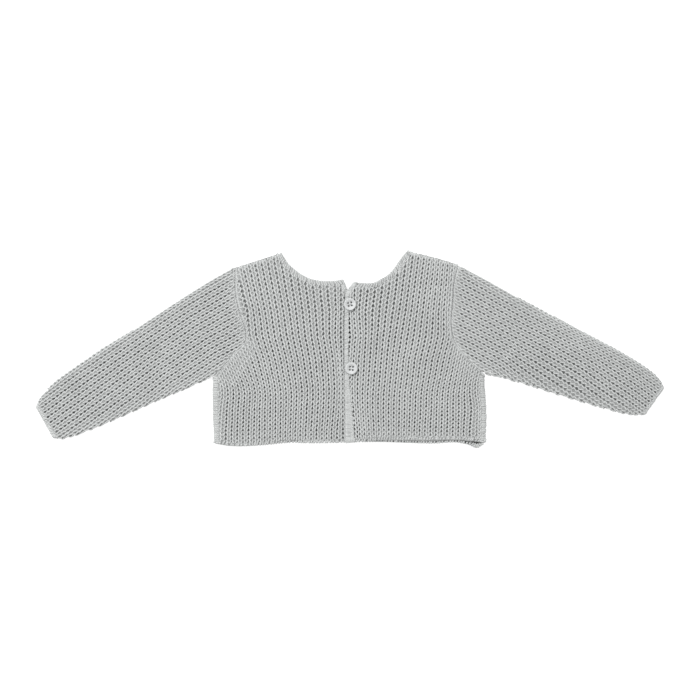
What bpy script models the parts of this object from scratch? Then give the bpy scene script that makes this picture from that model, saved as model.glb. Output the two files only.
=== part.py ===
"""A toddler's knit shrug, a cropped two-button cardigan, laid flat on a surface.

Metres, +Z up. The surface is Z = 0, +Y runs from the hem to the neck, and left and right are those of
someone who looks down at the buttons with the neck away from them: left is -X.
The back panel and the lower halves of the sleeves lie on the surface, with plain flat undersides. The two
fronts lie on the back, and the right front laps over the left one, where the two buttons hold it.
The tables are in millimetres in the lay's own plan, and plan() turns them to metres round its middle.
"""

import math

import bmesh
import bpy
import numpy as np
from mathutils import geometry

MM = 0.001

# The cloth: a heavy rib, whose ribs stand proud of a plain inner side
WALL = 2.6 * MM
RIB_RELIEF = 0.8 * MM
SEAM_GAP = 0.3 * MM
POINTS_A_RIB = 4
RIB_PROFILE = (0.0, 0.8, 1.0, 0.8)  # of the relief, from one groove to the next

# Ribs of the body: they run straight up from the hem to a first bend, and lean out to the sides from there.
# The leans are a rib's number from the centre, its steps out for each step up, and more of them past bend two.
RIB_PITCH = 5.1 * MM
RIB_CENTRE = -4.75 * MM
RIB_BENDS = (-40.3 * MM, 9.0 * MM)
BEND_REACH = 8 * MM
RIB_LEAN = {
    "left": [
        (0, 0.0, 0.0),
        (2, 0.08, 0.0),
        (4, 0.12, 0.0),
        (8, 0.17, 0.0),
        (12, 0.21, 0.0),
        (15, 0.25, 0.0),
        (18, 0.4, 0.0),
    ],
    "right": [
        (0, 0.0, 0.0),
        (2, 0.06, 0.02),
        (4, 0.08, 0.03),
        (8, 0.12, 0.015),
        (12, 0.17, -0.04),
        (16, 0.21, -0.125),
    ],
}

# The lay: how far the fronts swell off the back, and how the right front climbs on the left one
LOFT = 0.9 * MM
LAP_CLIMB = WALL + RIB_RELIEF + SEAM_GAP
LAP_FULL_TO = 8.5 * MM
LAP_DOWN_AT = 34 * MM
SWELL_FROM_FOLD = (2 * MM, 30 * MM)
SWELL_FROM_OPENING = (6 * MM, 40 * MM)
SWELL_FROM_HEM = (-92 * MM, -60 * MM)
SWELL_FROM_SHOULDER = (-84 * MM, -50 * MM)
FOLD_ROUND = 2.6 * MM
FOLD_BEND = 0.3  # of the round, where a ring has its one point on the curve
FOLD_EDGE = 0.35  # of the wall, its height at the very fold
SQUEEZE = 0.02 * MM
BACK_DROP = 0.8 * MM
PLAIN_ANGLE = 1.5

# Outlines: the spacing of their points, and the slabs that cut the solids to them
SEAM_STEP = 4 * MM
EDGE_STEP = 6 * MM
BACK_NECK_STEP = 5 * MM
HEM_STEP = 12 * MM
BACK_HEM_STEP = 8 * MM
CUT_LOW = -6 * MM
CUT_HIGH = 30 * MM
CUT_TOP = 140 * MM
CUT_BELOW_UNDERARM = 40 * MM
SEAM_STEPS_PAST = 6

FRONT_ROWS = (-98, -60, -48, -38, -28, -8, 4, 16, 34, 52, 70, 99)
FRONT_RIBS = {"left": (-104, 13), "right": (106, -5)}  # in quarters of a rib, from the side fold
SLEEVE_RIBS = range(-12, 61)

# Trims and buttons
BAND_THICKNESS = 2.7 * MM
NECK_BAND_WIDTH = 4.75 * MM
BAND_PROFILE = ((0, 0), (0, 0.6), (0.2, 1), (0.8, 1), (1, 0.6), (1, 0))  # of its width and thickness
SELVEDGE_TOP = 62.3 * MM
HEM_CORNER = 9.9 * MM
BUTTON_RADIUS = 5.7 * MM
BUTTON_HEIGHT = 2.1 * MM
BUTTON_HOLE_RADIUS = 0.75 * MM
BUTTON_HOLE_OFFSET = 1.45 * MM
BUTTON_STEPS = 24
BUTTON_PROFILE = (  # of its radius and height, from the dish over the rim to the underside
    (0.0, 0.62),
    (0.62, 0.62),
    (0.74, 1.0),
    (0.90, 1.0),
    (1.0, 0.60),
    (1.0, 0.25),
    (0.88, 0.0),
    (0.0, 0.0),
)
BUTTON_CENTRES = {"button_upper": (0.0, 43.3), "button_lower": (1.3, -17.4)}
BUTTON_TURN = {"button_upper": 12, "button_lower": -4}
KNIT_COLOUR = (0.46, 0.47, 0.465)
BAND_COLOUR = (0.5, 0.51, 0.505)
BUTTON_COLOUR = (0.62, 0.62, 0.6)

# Plan tables in millimetres, x across and y up
MIDDLE = (0.23, 0.45)
SIDE_LEFT = -129.7
SIDE_RIGHT = 128.9

SHOULDER = {
    "left": [(-63.7, 94.0), (-71.0, 90.4), (-90.0, 84.2), (-109.3, 78.0)],
    "right": [(55.1, 94.0), (66.5, 91.2), (84.0, 86.8), (102.6, 81.0)],
}
ARMHOLE = {
    "left": [
        (-109.3, 78.0),
        (-108.6, 52.0),
        (-105.0, 36.0),
        (-99.4, 19.0),
        (-99.4, 8.6),
        (-108.3, -1.9),
        (-118.8, -12.8),
        (-129.7, -25.0),
    ],
    "right": [
        (102.6, 81.0),
        (98.8, 64.6),
        (97.6, 44.7),
        (96.0, 24.7),
        (99.2, 8.6),
        (109.0, -4.5),
        (119.5, -15.5),
        (128.9, -24.0),
    ],
}
NECKLINE = {
    "left": [
        (-63.7, 94.0),
        (-59.9, 84.4),
        (-53.6, 77.9),
        (-46.6, 72.6),
        (-39.0, 68.6),
        (-28.5, 66.2),
        (-16.0, 66.0),
        (-4.75, 68.0),
    ],
    "right": [
        (55.1, 94.0),
        (50.0, 89.3),
        (45.6, 83.6),
        (41.8, 77.9),
        (37.1, 72.6),
        (29.5, 67.5),
        (19.0, 65.0),
        (7.6, 65.6),
    ],
}
BACK_NECKLINE = [
    (-65.5, 91.8),
    (-61.0, 80.0),
    (-48.0, 64.0),
    (-28.0, 54.5),
    (-4.0, 51.5),
    (20.0, 54.5),
    (39.5, 64.0),
    (51.0, 78.0),
    (57.5, 91.8),
]
HEM = {
    "left": [(-129.7, -88.6), (-116.0, -91.0), (-82.0, -90.0), (-60.0, -87.6), (6.0, -86.2)],
    "right": [(-4.75, -86.0), (30.0, -85.8), (70.0, -86.6), (105.0, -86.0), (128.9, -88.0)],
    "back": [
        (-128.9, -87.6),
        (-60.0, -86.4),
        (0.0, -86.2),
        (36.0, -87.6),
        (80.0, -88.6),
        (104.0, -87.9),
        (114.0, -90.2),
        (120.5, -93.1),
        (127.6, -89.0),
    ],
}
# The free edges of the opening, from the neck to the hem, and the plain selvedge along each
OPENING_EDGE = {
    "left": [(-4.75, 68.0), (-1.9, 57.0), (3.0, 44.0), (5.6, 33.0), (6.0, 20.0), (6.0, -86.2)],
    "right": [(7.6, 65.6), (1.9, 63.4), (-2.6, 58.6), (-4.6, 52.5), (-4.9, 42.0), (-4.75, -86.0)],
}
SELVEDGE_WIDTH = [(68.0, 3.6), (0.0, 3.6), (-30.0, 4.4), (-60.0, 7.0), (-92.0, 9.6)]  # height, width

# Each sleeve in its own plan: along from the shoulder point, across from its upper fold to its lower one
SLEEVE_ROOT = {"left": (-109.3, 76.0), "right": (102.6, 77.0)}
SLEEVE_ANGLE = {"left": 34.0, "right": 29.0}
SLEEVE_ROUND = 2.9 * MM
SLEEVE_RIB_RISE = 2.6 * MM
HOLLOW_ROUND = 1.5 * MM
HOLLOW_PAST = 10
CUFF_PLAIN = 6 * MM
CUFF_TURN = 30 * MM
CUFF_SLANT = {"left": 3.0, "right": -3.6}
SLEEVE_STATIONS = {  # along, upper fold, lower fold, hollow between the walls
    "left": [
        (-6.0, -3.0, 74.0, 0.3),
        (14.0, -3.6, 74.0, 0.35),
        (32.0, -4.7, 73.6, 0.5),
        (52.0, -5.2, 73.2, 0.8),
        (72.0, -5.6, 72.3, 1.1),
        (96.0, -6.2, 68.4, 1.4),
        (120.0, -7.2, 63.6, 1.6),
        (150.0, -8.9, 57.6, 1.6),
        (180.0, -8.7, 51.4, 1.5),
        (200.0, -7.9, 47.4, 1.4),
        (213.0, -5.4, 43.9, 1.3),
        (222.0, -2.4, 41.0, 1.2),
        (228.6, 1.2, 36.6, 1.0),
    ],
    "right": [
        (-8.0, -3.2, 78.0, 0.3),
        (12.0, -3.2, 78.0, 0.35),
        (30.0, -3.9, 77.6, 0.5),
        (52.0, -3.9, 77.0, 0.8),
        (72.0, -4.0, 74.4, 1.1),
        (88.0, -4.6, 69.6, 1.3),
        (112.0, -5.0, 63.6, 1.6),
        (140.0, -5.3, 57.2, 1.6),
        (165.0, -6.0, 51.8, 1.5),
        (190.0, -5.5, 46.9, 1.4),
        (205.0, -4.3, 43.8, 1.3),
        (216.0, -2.2, 40.6, 1.2),
        (226.0, 3.4, 35.4, 1.0),
    ],
}

SLEEVE_RIB_LINES = {  # along, first groove, first rib's width, and how much wider each next one is
    "left": [
        (-6.0, 7.2, 5.0, 0.0),
        (20.0, 5.0, 5.3, 0.0),
        (40.0, 3.8, 5.28, 0.0),
        (60.0, 2.8, 5.17, 0.0),
        (110.0, 2.9, 5.15, 0.0),
        (150.0, 3.5, 5.37, 0.0),
        (180.0, 4.0, 5.47, 0.0),
        (200.0, 4.7, 5.5, 0.0),
        (228.6, 6.0, 5.4, 0.0),
    ],
    "right": [
        (-8.0, -0.4, 5.2, 0.0),
        (50.0, 0.4, 5.03, 0.0),
        (80.0, 1.0, 4.88, 0.01),
        (110.0, 1.2, 4.3, 0.1),
        (150.0, 1.8, 4.01, 0.165),
        (180.0, 2.9, 4.78, 0.1),
        (200.0, 4.4, 4.72, 0.115),
        (226.0, 7.4, 4.7, 0.1),
    ],
}


# ---------------------------------------------------------------- plan and heights


def plan(point):
    """A table's point in metres, from the middle of the lay."""
    return ((point[0] - MIDDLE[0]) * MM, (point[1] - MIDDLE[1]) * MM)


def smooth_line(table, step):
    """A smooth line through a table's points, with a point about every step metres."""
    knots = np.array([plan(point) for point in table])
    gaps = np.linalg.norm(np.diff(knots, axis=0), axis=1)
    slopes = np.diff(knots, axis=0) / gaps[:, None]
    share = (gaps[:-1] / (gaps[:-1] + gaps[1:]))[:, None]
    leans = np.vstack([slopes[:1], slopes[:-1] * (1 - share) + slopes[1:] * share, slopes[-1:]])
    line = []
    for start, end, gap, lean_in, lean_out in zip(knots, knots[1:], gaps, leans, leans[1:]):
        count = max(1, round(gap / step))
        for t in np.arange(count) / count:
            near = (1 + 2 * t) * (1 - t) ** 2 * start + t * (1 - t) ** 2 * gap * lean_in
            far = t * t * (3 - 2 * t) * end + t * t * (t - 1) * gap * lean_out
            line.append(tuple(near + far))
    return line + [tuple(knots[-1])]


def offset_line(line, distance):
    """The line moved sideways, to its right as it runs, by a number or by one number a point."""
    points = np.array(line)
    along = np.gradient(points, axis=0)
    along /= np.linalg.norm(along, axis=1)[:, None]
    sideways = np.stack([along[:, 1], -along[:, 0]], axis=1)
    return [tuple(point) for point in points + sideways * np.reshape(distance, (-1, 1))]


def ease(value, start, end):
    """0 before start and 1 after end, with a smooth step between them."""
    t = min(max((value - start) / (end - start), 0.0), 1.0)
    return t * t * (3 - 2 * t)


def rounded(distance, radius):
    """The share of its full height that cloth has at this distance in from a fold."""
    reach = min(max(distance / radius, 0.0), 1.0)
    return math.sqrt(1 - (1 - reach) ** 2)


def above(y, bend):
    """How far a height is above a bend of the ribs, with a soft start."""
    reach = min(max((y - bend + BEND_REACH) / (2 * BEND_REACH), 0.0), 1.0)
    return BEND_REACH * reach**2 + max(y - bend - BEND_REACH, 0.0)


def rib_x(side, number, y):
    """Where a front's rib line of this number from the centre crosses a height."""
    table = np.array(RIB_LEAN[side])
    first, second = (np.interp(abs(number), table[:, 0], table[:, column]) for column in (1, 2))
    lean = first * above(y, RIB_BENDS[0]) + second * above(y, RIB_BENDS[1])
    return RIB_CENTRE + number * RIB_PITCH + math.copysign(lean, number)


def sleeve_rib(side, along, number):
    """How far across the sleeve its rib line of this number lies."""
    table = np.array(SLEEVE_RIB_LINES[side]) * MM
    first, width, wider = (np.interp(along, table[:, 0], table[:, column]) for column in (1, 2, 3))
    return first + number * width + number**2 * wider


def swell(side, x, y):
    """How far a front stands off the back panel between its fold, its opening and its ends."""
    edge = plan((SIDE_LEFT if side == "left" else SIDE_RIGHT, 0))[0]
    across = ease(abs(x - edge), *SWELL_FROM_FOLD) * ease(abs(x), *SWELL_FROM_OPENING)
    return LOFT * across * ease(y, *SWELL_FROM_HEM) * ease(-y, *SWELL_FROM_SHOULDER)


def front_inside(side, x, y):
    """The height of a front's inner side. The right front climbs on the left one at the opening."""
    lap = 1 - ease(x, LAP_FULL_TO, LAP_DOWN_AT) if side == "right" else 0.0
    return WALL + SEAM_GAP + swell(side, x, y) + LAP_CLIMB * lap


# ---------------------------------------------------------------- mesh tools


def add_object(name, mesh, collection):
    piece = bpy.data.objects.new(name, mesh)
    collection.objects.link(piece)
    return piece


def loft(name, rings, collection):
    """A closed solid through rings of points of the same count, with flat caps at both ends."""
    bm = bmesh.new()
    loops = [[bm.verts.new(point) for point in ring] for ring in rings]
    for low, high in zip(loops, loops[1:]):
        for i, vert in enumerate(low):
            after = (i + 1) % len(low)
            bm.faces.new((vert, low[after], high[after], high[i]))
    bm.faces.new(loops[0][::-1])
    bm.faces.new(loops[-1])
    bmesh.ops.recalc_face_normals(bm, faces=bm.faces)
    mesh = bpy.data.meshes.new(name)
    bm.to_mesh(mesh)
    bm.free()
    return add_object(name, mesh, collection)


def outline_solid(name, outline, low, high, collection):
    """A flat outline, as a filled 2D curve with thickness, made a mesh."""
    curve = bpy.data.curves.new(name, "CURVE")
    curve.dimensions = "2D"
    curve.fill_mode = "BOTH"
    curve.extrude = (high - low) / 2
    spline = curve.splines.new("POLY")
    spline.points.add(len(outline) - 1)
    for knot, (x, y) in zip(spline.points, outline):
        knot.co = (x, y, 0, 1)
    spline.use_cyclic_u = True
    drawn = bpy.data.objects.new(name + "_curve", curve)
    collection.objects.link(drawn)
    mesh = bpy.data.meshes.new_from_object(drawn.evaluated_get(bpy.context.evaluated_depsgraph_get()))
    bpy.data.objects.remove(drawn)
    bpy.data.curves.remove(curve)
    bm = bmesh.new()
    bm.from_mesh(mesh)
    bmesh.ops.remove_doubles(bm, verts=bm.verts, dist=0.0001 * MM)
    bmesh.ops.translate(bm, verts=bm.verts, vec=(0, 0, (low + high) / 2))
    bmesh.ops.recalc_face_normals(bm, faces=bm.faces)
    bm.to_mesh(mesh)
    bm.free()
    mesh.name = name
    return add_object(name, mesh, collection)


def cut(piece, cutter, operation):
    cutter.hide_render = True
    cutter.display_type = "WIRE"
    step = piece.modifiers.new(cutter.name, "BOOLEAN")
    step.operation = operation
    step.object = cutter


def plain_faces_joined(piece, lies_inside):
    """Joins the faces of a plain inner side that lie almost in one plane."""
    bm = bmesh.new()
    bm.from_mesh(piece.data)
    faces = [face for face in bm.faces if lies_inside(face)]
    edges = [edge for edge in bm.edges if all(face in faces for face in edge.link_faces)]
    bmesh.ops.dissolve_limit(
        bm,
        angle_limit=math.radians(PLAIN_ANGLE),
        verts=list({vert for edge in edges for vert in edge.verts}),
        edges=edges,
    )
    bm.to_mesh(piece.data)
    bm.free()


def finish(piece, colour, roughness):
    """A part's own material: a Principled BSDF of its colour, not metallic."""
    material = bpy.data.materials.new(piece.name)
    material.use_nodes = True
    shader = material.node_tree.nodes["Principled BSDF"]
    shader.inputs["Base Color"].default_value = (*colour, 1)
    shader.inputs["Roughness"].default_value = roughness
    shader.inputs["Metallic"].default_value = 0.0
    piece.data.materials.append(material)
    piece.data.shade_smooth()
    piece.data.set_sharp_from_angle(angle=math.radians(40))
    return piece


# ---------------------------------------------------------------- outlines


def armhole_line(side, moved_out):
    """The armhole's seam from shoulder to underarm, moved towards the sleeve."""
    line = smooth_line(ARMHOLE[side], SEAM_STEP)
    return offset_line(line, moved_out if side == "left" else -moved_out)


def neck_line(side):
    return smooth_line(NECKLINE[side], SEAM_STEP)


def selvedge_widths(line):
    heights = [(row[0] - MIDDLE[1]) * MM for row in SELVEDGE_WIDTH][::-1]
    widths = [row[1] * MM for row in SELVEDGE_WIDTH][::-1]
    return np.interp([point[1] for point in line], heights, widths)


def joined_lines(first, second):
    """The first line up to where it crosses the second one, and the second one from there."""
    for i, (a, b) in enumerate(zip(first, first[1:])):
        for j, (c, d) in enumerate(zip(second, second[1:])):
            hit = geometry.intersect_line_line_2d(a, b, c, d)
            if hit:
                return first[: i + 1] + [tuple(hit)] + second[j + 1 :]
    return first + [point for point in second if point[1] < first[-1][1]]


def inward(side):
    """The sign that offset_line needs to move a neck or opening line of this side into its front."""
    return 1 if side == "left" else -1


def front_outline(side):
    """A front's ribbed cloth, inside its neck band and its selvedge."""
    neck = offset_line(neck_line(side), inward(side) * (NECK_BAND_WIDTH + SEAM_GAP))
    opening = smooth_line(OPENING_EDGE[side], EDGE_STEP)
    opening = offset_line(opening, inward(side) * (selvedge_widths(opening) + SEAM_GAP))
    armhole = armhole_line(side, -SEAM_GAP / 2)
    shoulder = [plan(point) for point in SHOULDER[side][1:-1]]
    hem = smooth_line(HEM[side], HEM_STEP)
    hem = hem[::-1] if side == "left" else hem
    corner = (opening[-1][0], hem[0][1])
    inner_hem = [point for point in hem if abs(point[0] - hem[0][0]) > HEM_CORNER]
    edges = joined_lines(neck, opening[:-1])
    return edges + [corner] + inner_hem + armhole[::-1] + shoulder[::-1]


def back_side(side):
    """The back's shoulder and armhole, with the shoulder a little below the front's."""
    shoulder = [plan(point) for point in SHOULDER[side][1:-1]]
    corner, *armhole = armhole_line(side, -SEAM_GAP / 2)
    return [(x, y - BACK_DROP) for x, y in shoulder + [corner]] + armhole


def back_outline():
    """The back panel, a little inside the fronts at the shoulders and the side folds."""
    neck = smooth_line(BACK_NECKLINE, BACK_NECK_STEP)
    neck = offset_line(neck, NECK_BAND_WIDTH + SEAM_GAP)
    hem = smooth_line(HEM["back"], BACK_HEM_STEP)
    return neck[::-1] + back_side("left") + hem + back_side("right")[::-1]


# ---------------------------------------------------------------- the fronts and the back


def front_ring(side, y):
    """One row of a front, from its side fold to past its opening, ribs above and plain below."""
    toward = 1 if side == "left" else -1
    fold = plan((SIDE_LEFT if side == "left" else SIDE_RIGHT, 0))[0]
    first, last = FRONT_RIBS[side]
    columns = [(0.0, 0.0), (FOLD_BEND * FOLD_ROUND, 0.0)]
    for number, k in enumerate(range(first, last, toward)):
        away = toward * (rib_x(side, k / POINTS_A_RIB, y) - fold)
        relief = RIB_RELIEF * RIB_PROFILE[k % POINTS_A_RIB]
        columns.append((max(away, FOLD_ROUND + number * SQUEEZE), relief))
    outer = []
    inner = []
    for away, relief in columns:
        x = fold + toward * away
        base = front_inside(side, x, y)
        height = WALL * (FOLD_EDGE + (1 - FOLD_EDGE) * rounded(away, FOLD_ROUND))
        raised = relief * ease(away, FOLD_ROUND, 2 * FOLD_ROUND)
        outer.append((x, y, base + height + raised))
        inner.append((x, y, base))
    return outer + inner[::-1]


def front(side, parts, cutters):
    rings = [front_ring(side, y * MM) for y in FRONT_ROWS]
    piece = loft("front_" + side, rings, parts)
    plain_faces_joined(piece, lambda face: face.normal.z < -0.5)
    shape = outline_solid("outline_front_" + side, front_outline(side), CUT_LOW, CUT_HIGH, cutters)
    cut(piece, shape, "INTERSECT")
    return piece


def back(parts):
    return outline_solid("back", back_outline(), 0.0, WALL, parts)


# ---------------------------------------------------------------- the sleeves


def sleeve_point(side, along, across, height, slant):
    """A point of the sleeve's own plan in the lay. The slant turns its end to the cuff's line."""
    angle = math.radians(SLEEVE_ANGLE[side])
    away = -1 if side == "left" else 1
    root_x, root_y = plan(SLEEVE_ROOT[side])
    reach = along + slant
    x = root_x + away * (reach * math.cos(angle) - across * math.sin(angle))
    y = root_y - reach * math.sin(angle) - across * math.cos(angle)
    return (x, y, height)


def sleeve_ring(side, station, hollow_side):
    """A ring round the sleeve's wall: ribs above and flat below, or the plain hollow inside it."""
    along, upper, lower, hollow = (value * MM for value in station)
    full = 2 * WALL + hollow
    end = SLEEVE_STATIONS[side][-1][0] * MM
    if hollow_side:
        inset = WALL + HOLLOW_ROUND
        profile = [
            (upper + WALL, full / 2),
            (upper + inset, full - WALL),
            (lower - inset, full - WALL),
            (lower - WALL, full / 2),
            (lower - inset, WALL),
            (upper + inset, WALL),
        ]
    else:
        bend = FOLD_BEND * SLEEVE_ROUND
        rise = full / 2 * rounded(bend, SLEEVE_ROUND)
        profile = [(upper, full / 2), (upper + bend, full / 2 + rise)]
        for number, k in enumerate(SLEEVE_RIBS):
            across = sleeve_rib(side, along, k / POINTS_A_RIB)
            across = max(across, upper + SLEEVE_ROUND + number * SQUEEZE)
            across = min(across, lower - SLEEVE_ROUND - (len(SLEEVE_RIBS) - number) * SQUEEZE)
            clear = min(across - upper, lower - across) - SLEEVE_ROUND
            raised = RIB_RELIEF * RIB_PROFILE[k % POINTS_A_RIB]
            raised *= ease(clear, 0.0, SLEEVE_RIB_RISE) * ease(end - along, 0.0, CUFF_PLAIN)
            profile.append((across, full + raised))
        profile += [
            (lower - bend, full / 2 + rise),
            (lower, full / 2),
            (lower - bend, full / 2 - rise),
            (lower - SLEEVE_ROUND, 0.0),
            (upper + SLEEVE_ROUND, 0.0),
            (upper + bend, full / 2 - rise),
        ]
    turn = CUFF_SLANT[side] * MM * ease(along, end - CUFF_TURN, end) / (lower - upper)
    return [sleeve_point(side, along, v, z, turn * (v - upper)) for v, z in profile]


def body_side(side):
    """All that lies on the body's side of an armhole's seam, as an outline."""
    seam = armhole_line(side, SEAM_GAP / 2)
    (x_before, y_before), (x_last, y_last) = seam[-2:]
    past_x = x_last + SEAM_STEPS_PAST * (x_last - x_before)
    past_y = y_last + SEAM_STEPS_PAST * (y_last - y_before)
    above = (seam[0][0], CUT_TOP)
    below = (0.0, past_y - CUT_BELOW_UNDERARM)
    return [above] + seam + [(past_x, past_y), below, (0.0, CUT_TOP)]


def sleeve(side, parts, cutters):
    stations = SLEEVE_STATIONS[side]
    piece = loft("sleeve_" + side, [sleeve_ring(side, row, False) for row in stations], parts)
    first, last = stations[0], stations[-1]
    before = (first[0] - HOLLOW_PAST, *first[1:])
    after = (last[0] + HOLLOW_PAST, *last[1:])
    longer = [before] + stations[1:] + [after]
    hollow = loft("hollow_sleeve_" + side, [sleeve_ring(side, row, True) for row in longer], cutters)
    cut(piece, hollow, "DIFFERENCE")
    body = outline_solid("body_side_" + side, body_side(side), CUT_LOW, CUT_HIGH, cutters)
    cut(piece, body, "DIFFERENCE")
    return piece


# ---------------------------------------------------------------- bands and selvedges


def strip(name, outer_line, inner_line, base_height, parts):
    """A flat band with rounded upper edges between two lines of as many points."""
    rings = []
    for (x_out, y_out), (x_in, y_in) in zip(outer_line, inner_line):
        ring = []
        for share, rise in BAND_PROFILE:
            x = x_out + (x_in - x_out) * share
            y = y_out + (y_in - y_out) * share
            ring.append((x, y, base_height(x, y) + rise * BAND_THICKNESS))
        rings.append(ring)
    return loft(name, rings, parts)


def neck_band(side, parts):
    line = neck_line(side)
    inner = offset_line(line, inward(side) * NECK_BAND_WIDTH)
    return strip("neck_band_" + side, line, inner, lambda x, y: front_inside(side, x, y), parts)


def neck_band_back(parts):
    line = smooth_line(BACK_NECKLINE, BACK_NECK_STEP)
    return strip("neck_band_back", line, offset_line(line, NECK_BAND_WIDTH), lambda x, y: 0.0, parts)


def front_edge(side, parts):
    """The plain selvedge along a front's opening, from under the neck band to the hem."""
    line = smooth_line(OPENING_EDGE[side], EDGE_STEP)
    inner = offset_line(line, inward(side) * selvedge_widths(line))
    pairs = list(zip(line, inner))
    if side == "left":
        pairs = [pair for pair in pairs if pair[0][1] < SELVEDGE_TOP]
    else:
        band_end = line[0][0] - SEAM_GAP
        pairs = [((min(a[0], band_end), a[1]), (min(b[0], band_end), b[1])) for a, b in pairs]
    outer_line, inner_line = zip(*pairs)
    return strip("front_edge_" + side, outer_line, inner_line, lambda x, y: front_inside(side, x, y), parts)


# ---------------------------------------------------------------- the buttons


def button(name, parts, cutters):
    """A turned button with a raised rim and a shallow dish, and four sewing holes through it."""
    x, y = plan(BUTTON_CENTRES[name])
    rest = front_inside("right", x, y) + WALL + RIB_RELIEF + SEAM_GAP
    outline = [(BUTTON_RADIUS * out, 0, BUTTON_HEIGHT * up) for out, up in BUTTON_PROFILE]
    links = [(i, i + 1) for i in range(len(outline) - 1)]
    mesh = bpy.data.meshes.new(name)
    mesh.from_pydata(outline, links, [])
    piece = add_object(name, mesh, parts)
    piece.location = (x, y, rest)
    turn = piece.modifiers.new("turned", "SCREW")
    turn.axis = "Z"
    turn.steps = BUTTON_STEPS
    turn.render_steps = BUTTON_STEPS
    turn.use_merge_vertices = True
    turn.merge_threshold = 0.01 * MM
    turn.use_normal_calculate = True
    for i in range(4):
        angle = math.radians(45 + 90 * i + BUTTON_TURN[name])
        drill = bmesh.new()
        bmesh.ops.create_cone(
            drill,
            cap_ends=True,
            segments=8,
            radius1=BUTTON_HOLE_RADIUS,
            radius2=BUTTON_HOLE_RADIUS,
            depth=4 * BUTTON_HEIGHT,
        )
        shape = bpy.data.meshes.new(f"{name}_hole_{i + 1}")
        drill.to_mesh(shape)
        drill.free()
        hole = add_object(shape.name, shape, cutters)
        off = BUTTON_HOLE_OFFSET * math.sqrt(2)
        hole.location = (x + off * math.cos(angle), y + off * math.sin(angle), rest)
        cut(piece, hole, "DIFFERENCE")
    return piece


# ---------------------------------------------------------------- the shrug


for old in list(bpy.data.objects):
    bpy.data.objects.remove(old)

shrug = bpy.data.collections.new("knit_shrug")
shrug_cutters = bpy.data.collections.new("cutters")
bpy.context.scene.collection.children.link(shrug)
bpy.context.scene.collection.children.link(shrug_cutters)

finish(back(shrug), KNIT_COLOUR, 0.9)
finish(neck_band_back(shrug), BAND_COLOUR, 0.9)
for hand in ("left", "right"):
    finish(front(hand, shrug, shrug_cutters), KNIT_COLOUR, 0.9)
    finish(sleeve(hand, shrug, shrug_cutters), KNIT_COLOUR, 0.9)
    finish(neck_band(hand, shrug), BAND_COLOUR, 0.9)
    finish(front_edge(hand, shrug), BAND_COLOUR, 0.9)
for button_name in BUTTON_CENTRES:
    finish(button(button_name, shrug, shrug_cutters), BUTTON_COLOUR, 0.35)
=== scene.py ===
"""A toddler's knit shrug, a cropped two-button cardigan in heavy grey rib, laid flat and seen from above.

Every panel is a thin shell of inner yarn with painted shade, on the form of its solid, with the rows of the
knitting lying on it as real yarn. Metres, +Z up. The surface is Z = 0, +Y runs from hem to neck, and left is
-X.
"""

import functools
import math

import bmesh
import bpy
import numpy as np
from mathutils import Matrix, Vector


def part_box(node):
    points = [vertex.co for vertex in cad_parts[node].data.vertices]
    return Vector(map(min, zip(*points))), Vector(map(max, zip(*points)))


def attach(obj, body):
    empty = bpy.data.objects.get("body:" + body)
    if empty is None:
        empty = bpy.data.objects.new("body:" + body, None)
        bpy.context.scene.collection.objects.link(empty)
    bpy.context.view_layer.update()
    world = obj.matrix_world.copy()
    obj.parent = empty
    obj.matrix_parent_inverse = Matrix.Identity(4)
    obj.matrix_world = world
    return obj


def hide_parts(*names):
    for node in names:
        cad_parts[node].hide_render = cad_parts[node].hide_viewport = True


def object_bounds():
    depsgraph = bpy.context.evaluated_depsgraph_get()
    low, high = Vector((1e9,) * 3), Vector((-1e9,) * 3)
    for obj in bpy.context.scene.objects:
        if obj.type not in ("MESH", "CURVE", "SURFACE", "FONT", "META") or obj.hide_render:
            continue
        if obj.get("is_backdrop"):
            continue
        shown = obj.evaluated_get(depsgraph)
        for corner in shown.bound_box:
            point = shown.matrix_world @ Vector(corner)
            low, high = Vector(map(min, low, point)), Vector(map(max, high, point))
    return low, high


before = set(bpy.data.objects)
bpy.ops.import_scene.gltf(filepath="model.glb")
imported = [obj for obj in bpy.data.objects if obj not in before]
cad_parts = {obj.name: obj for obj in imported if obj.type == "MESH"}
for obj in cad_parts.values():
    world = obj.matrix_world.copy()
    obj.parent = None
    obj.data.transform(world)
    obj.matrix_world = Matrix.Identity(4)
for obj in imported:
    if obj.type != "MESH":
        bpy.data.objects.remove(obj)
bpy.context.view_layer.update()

# ---------------------------------------------------------------- the back panel
# The back is one flat piece of heavy rib, knitted from the hem up, and it lies on the surface. Its right side
# faces down, so its rows are on the underside, and only its hem and one corner of it show from above.

MM = 0.001
MIDDLE = (0.23, 0.45)  # of the lay's own plan in millimetres, in which the tables here are given
WALL = 2.6 * MM
RIB_RELIEF = 0.8 * MM
SEAM_GAP = 0.3 * MM

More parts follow.
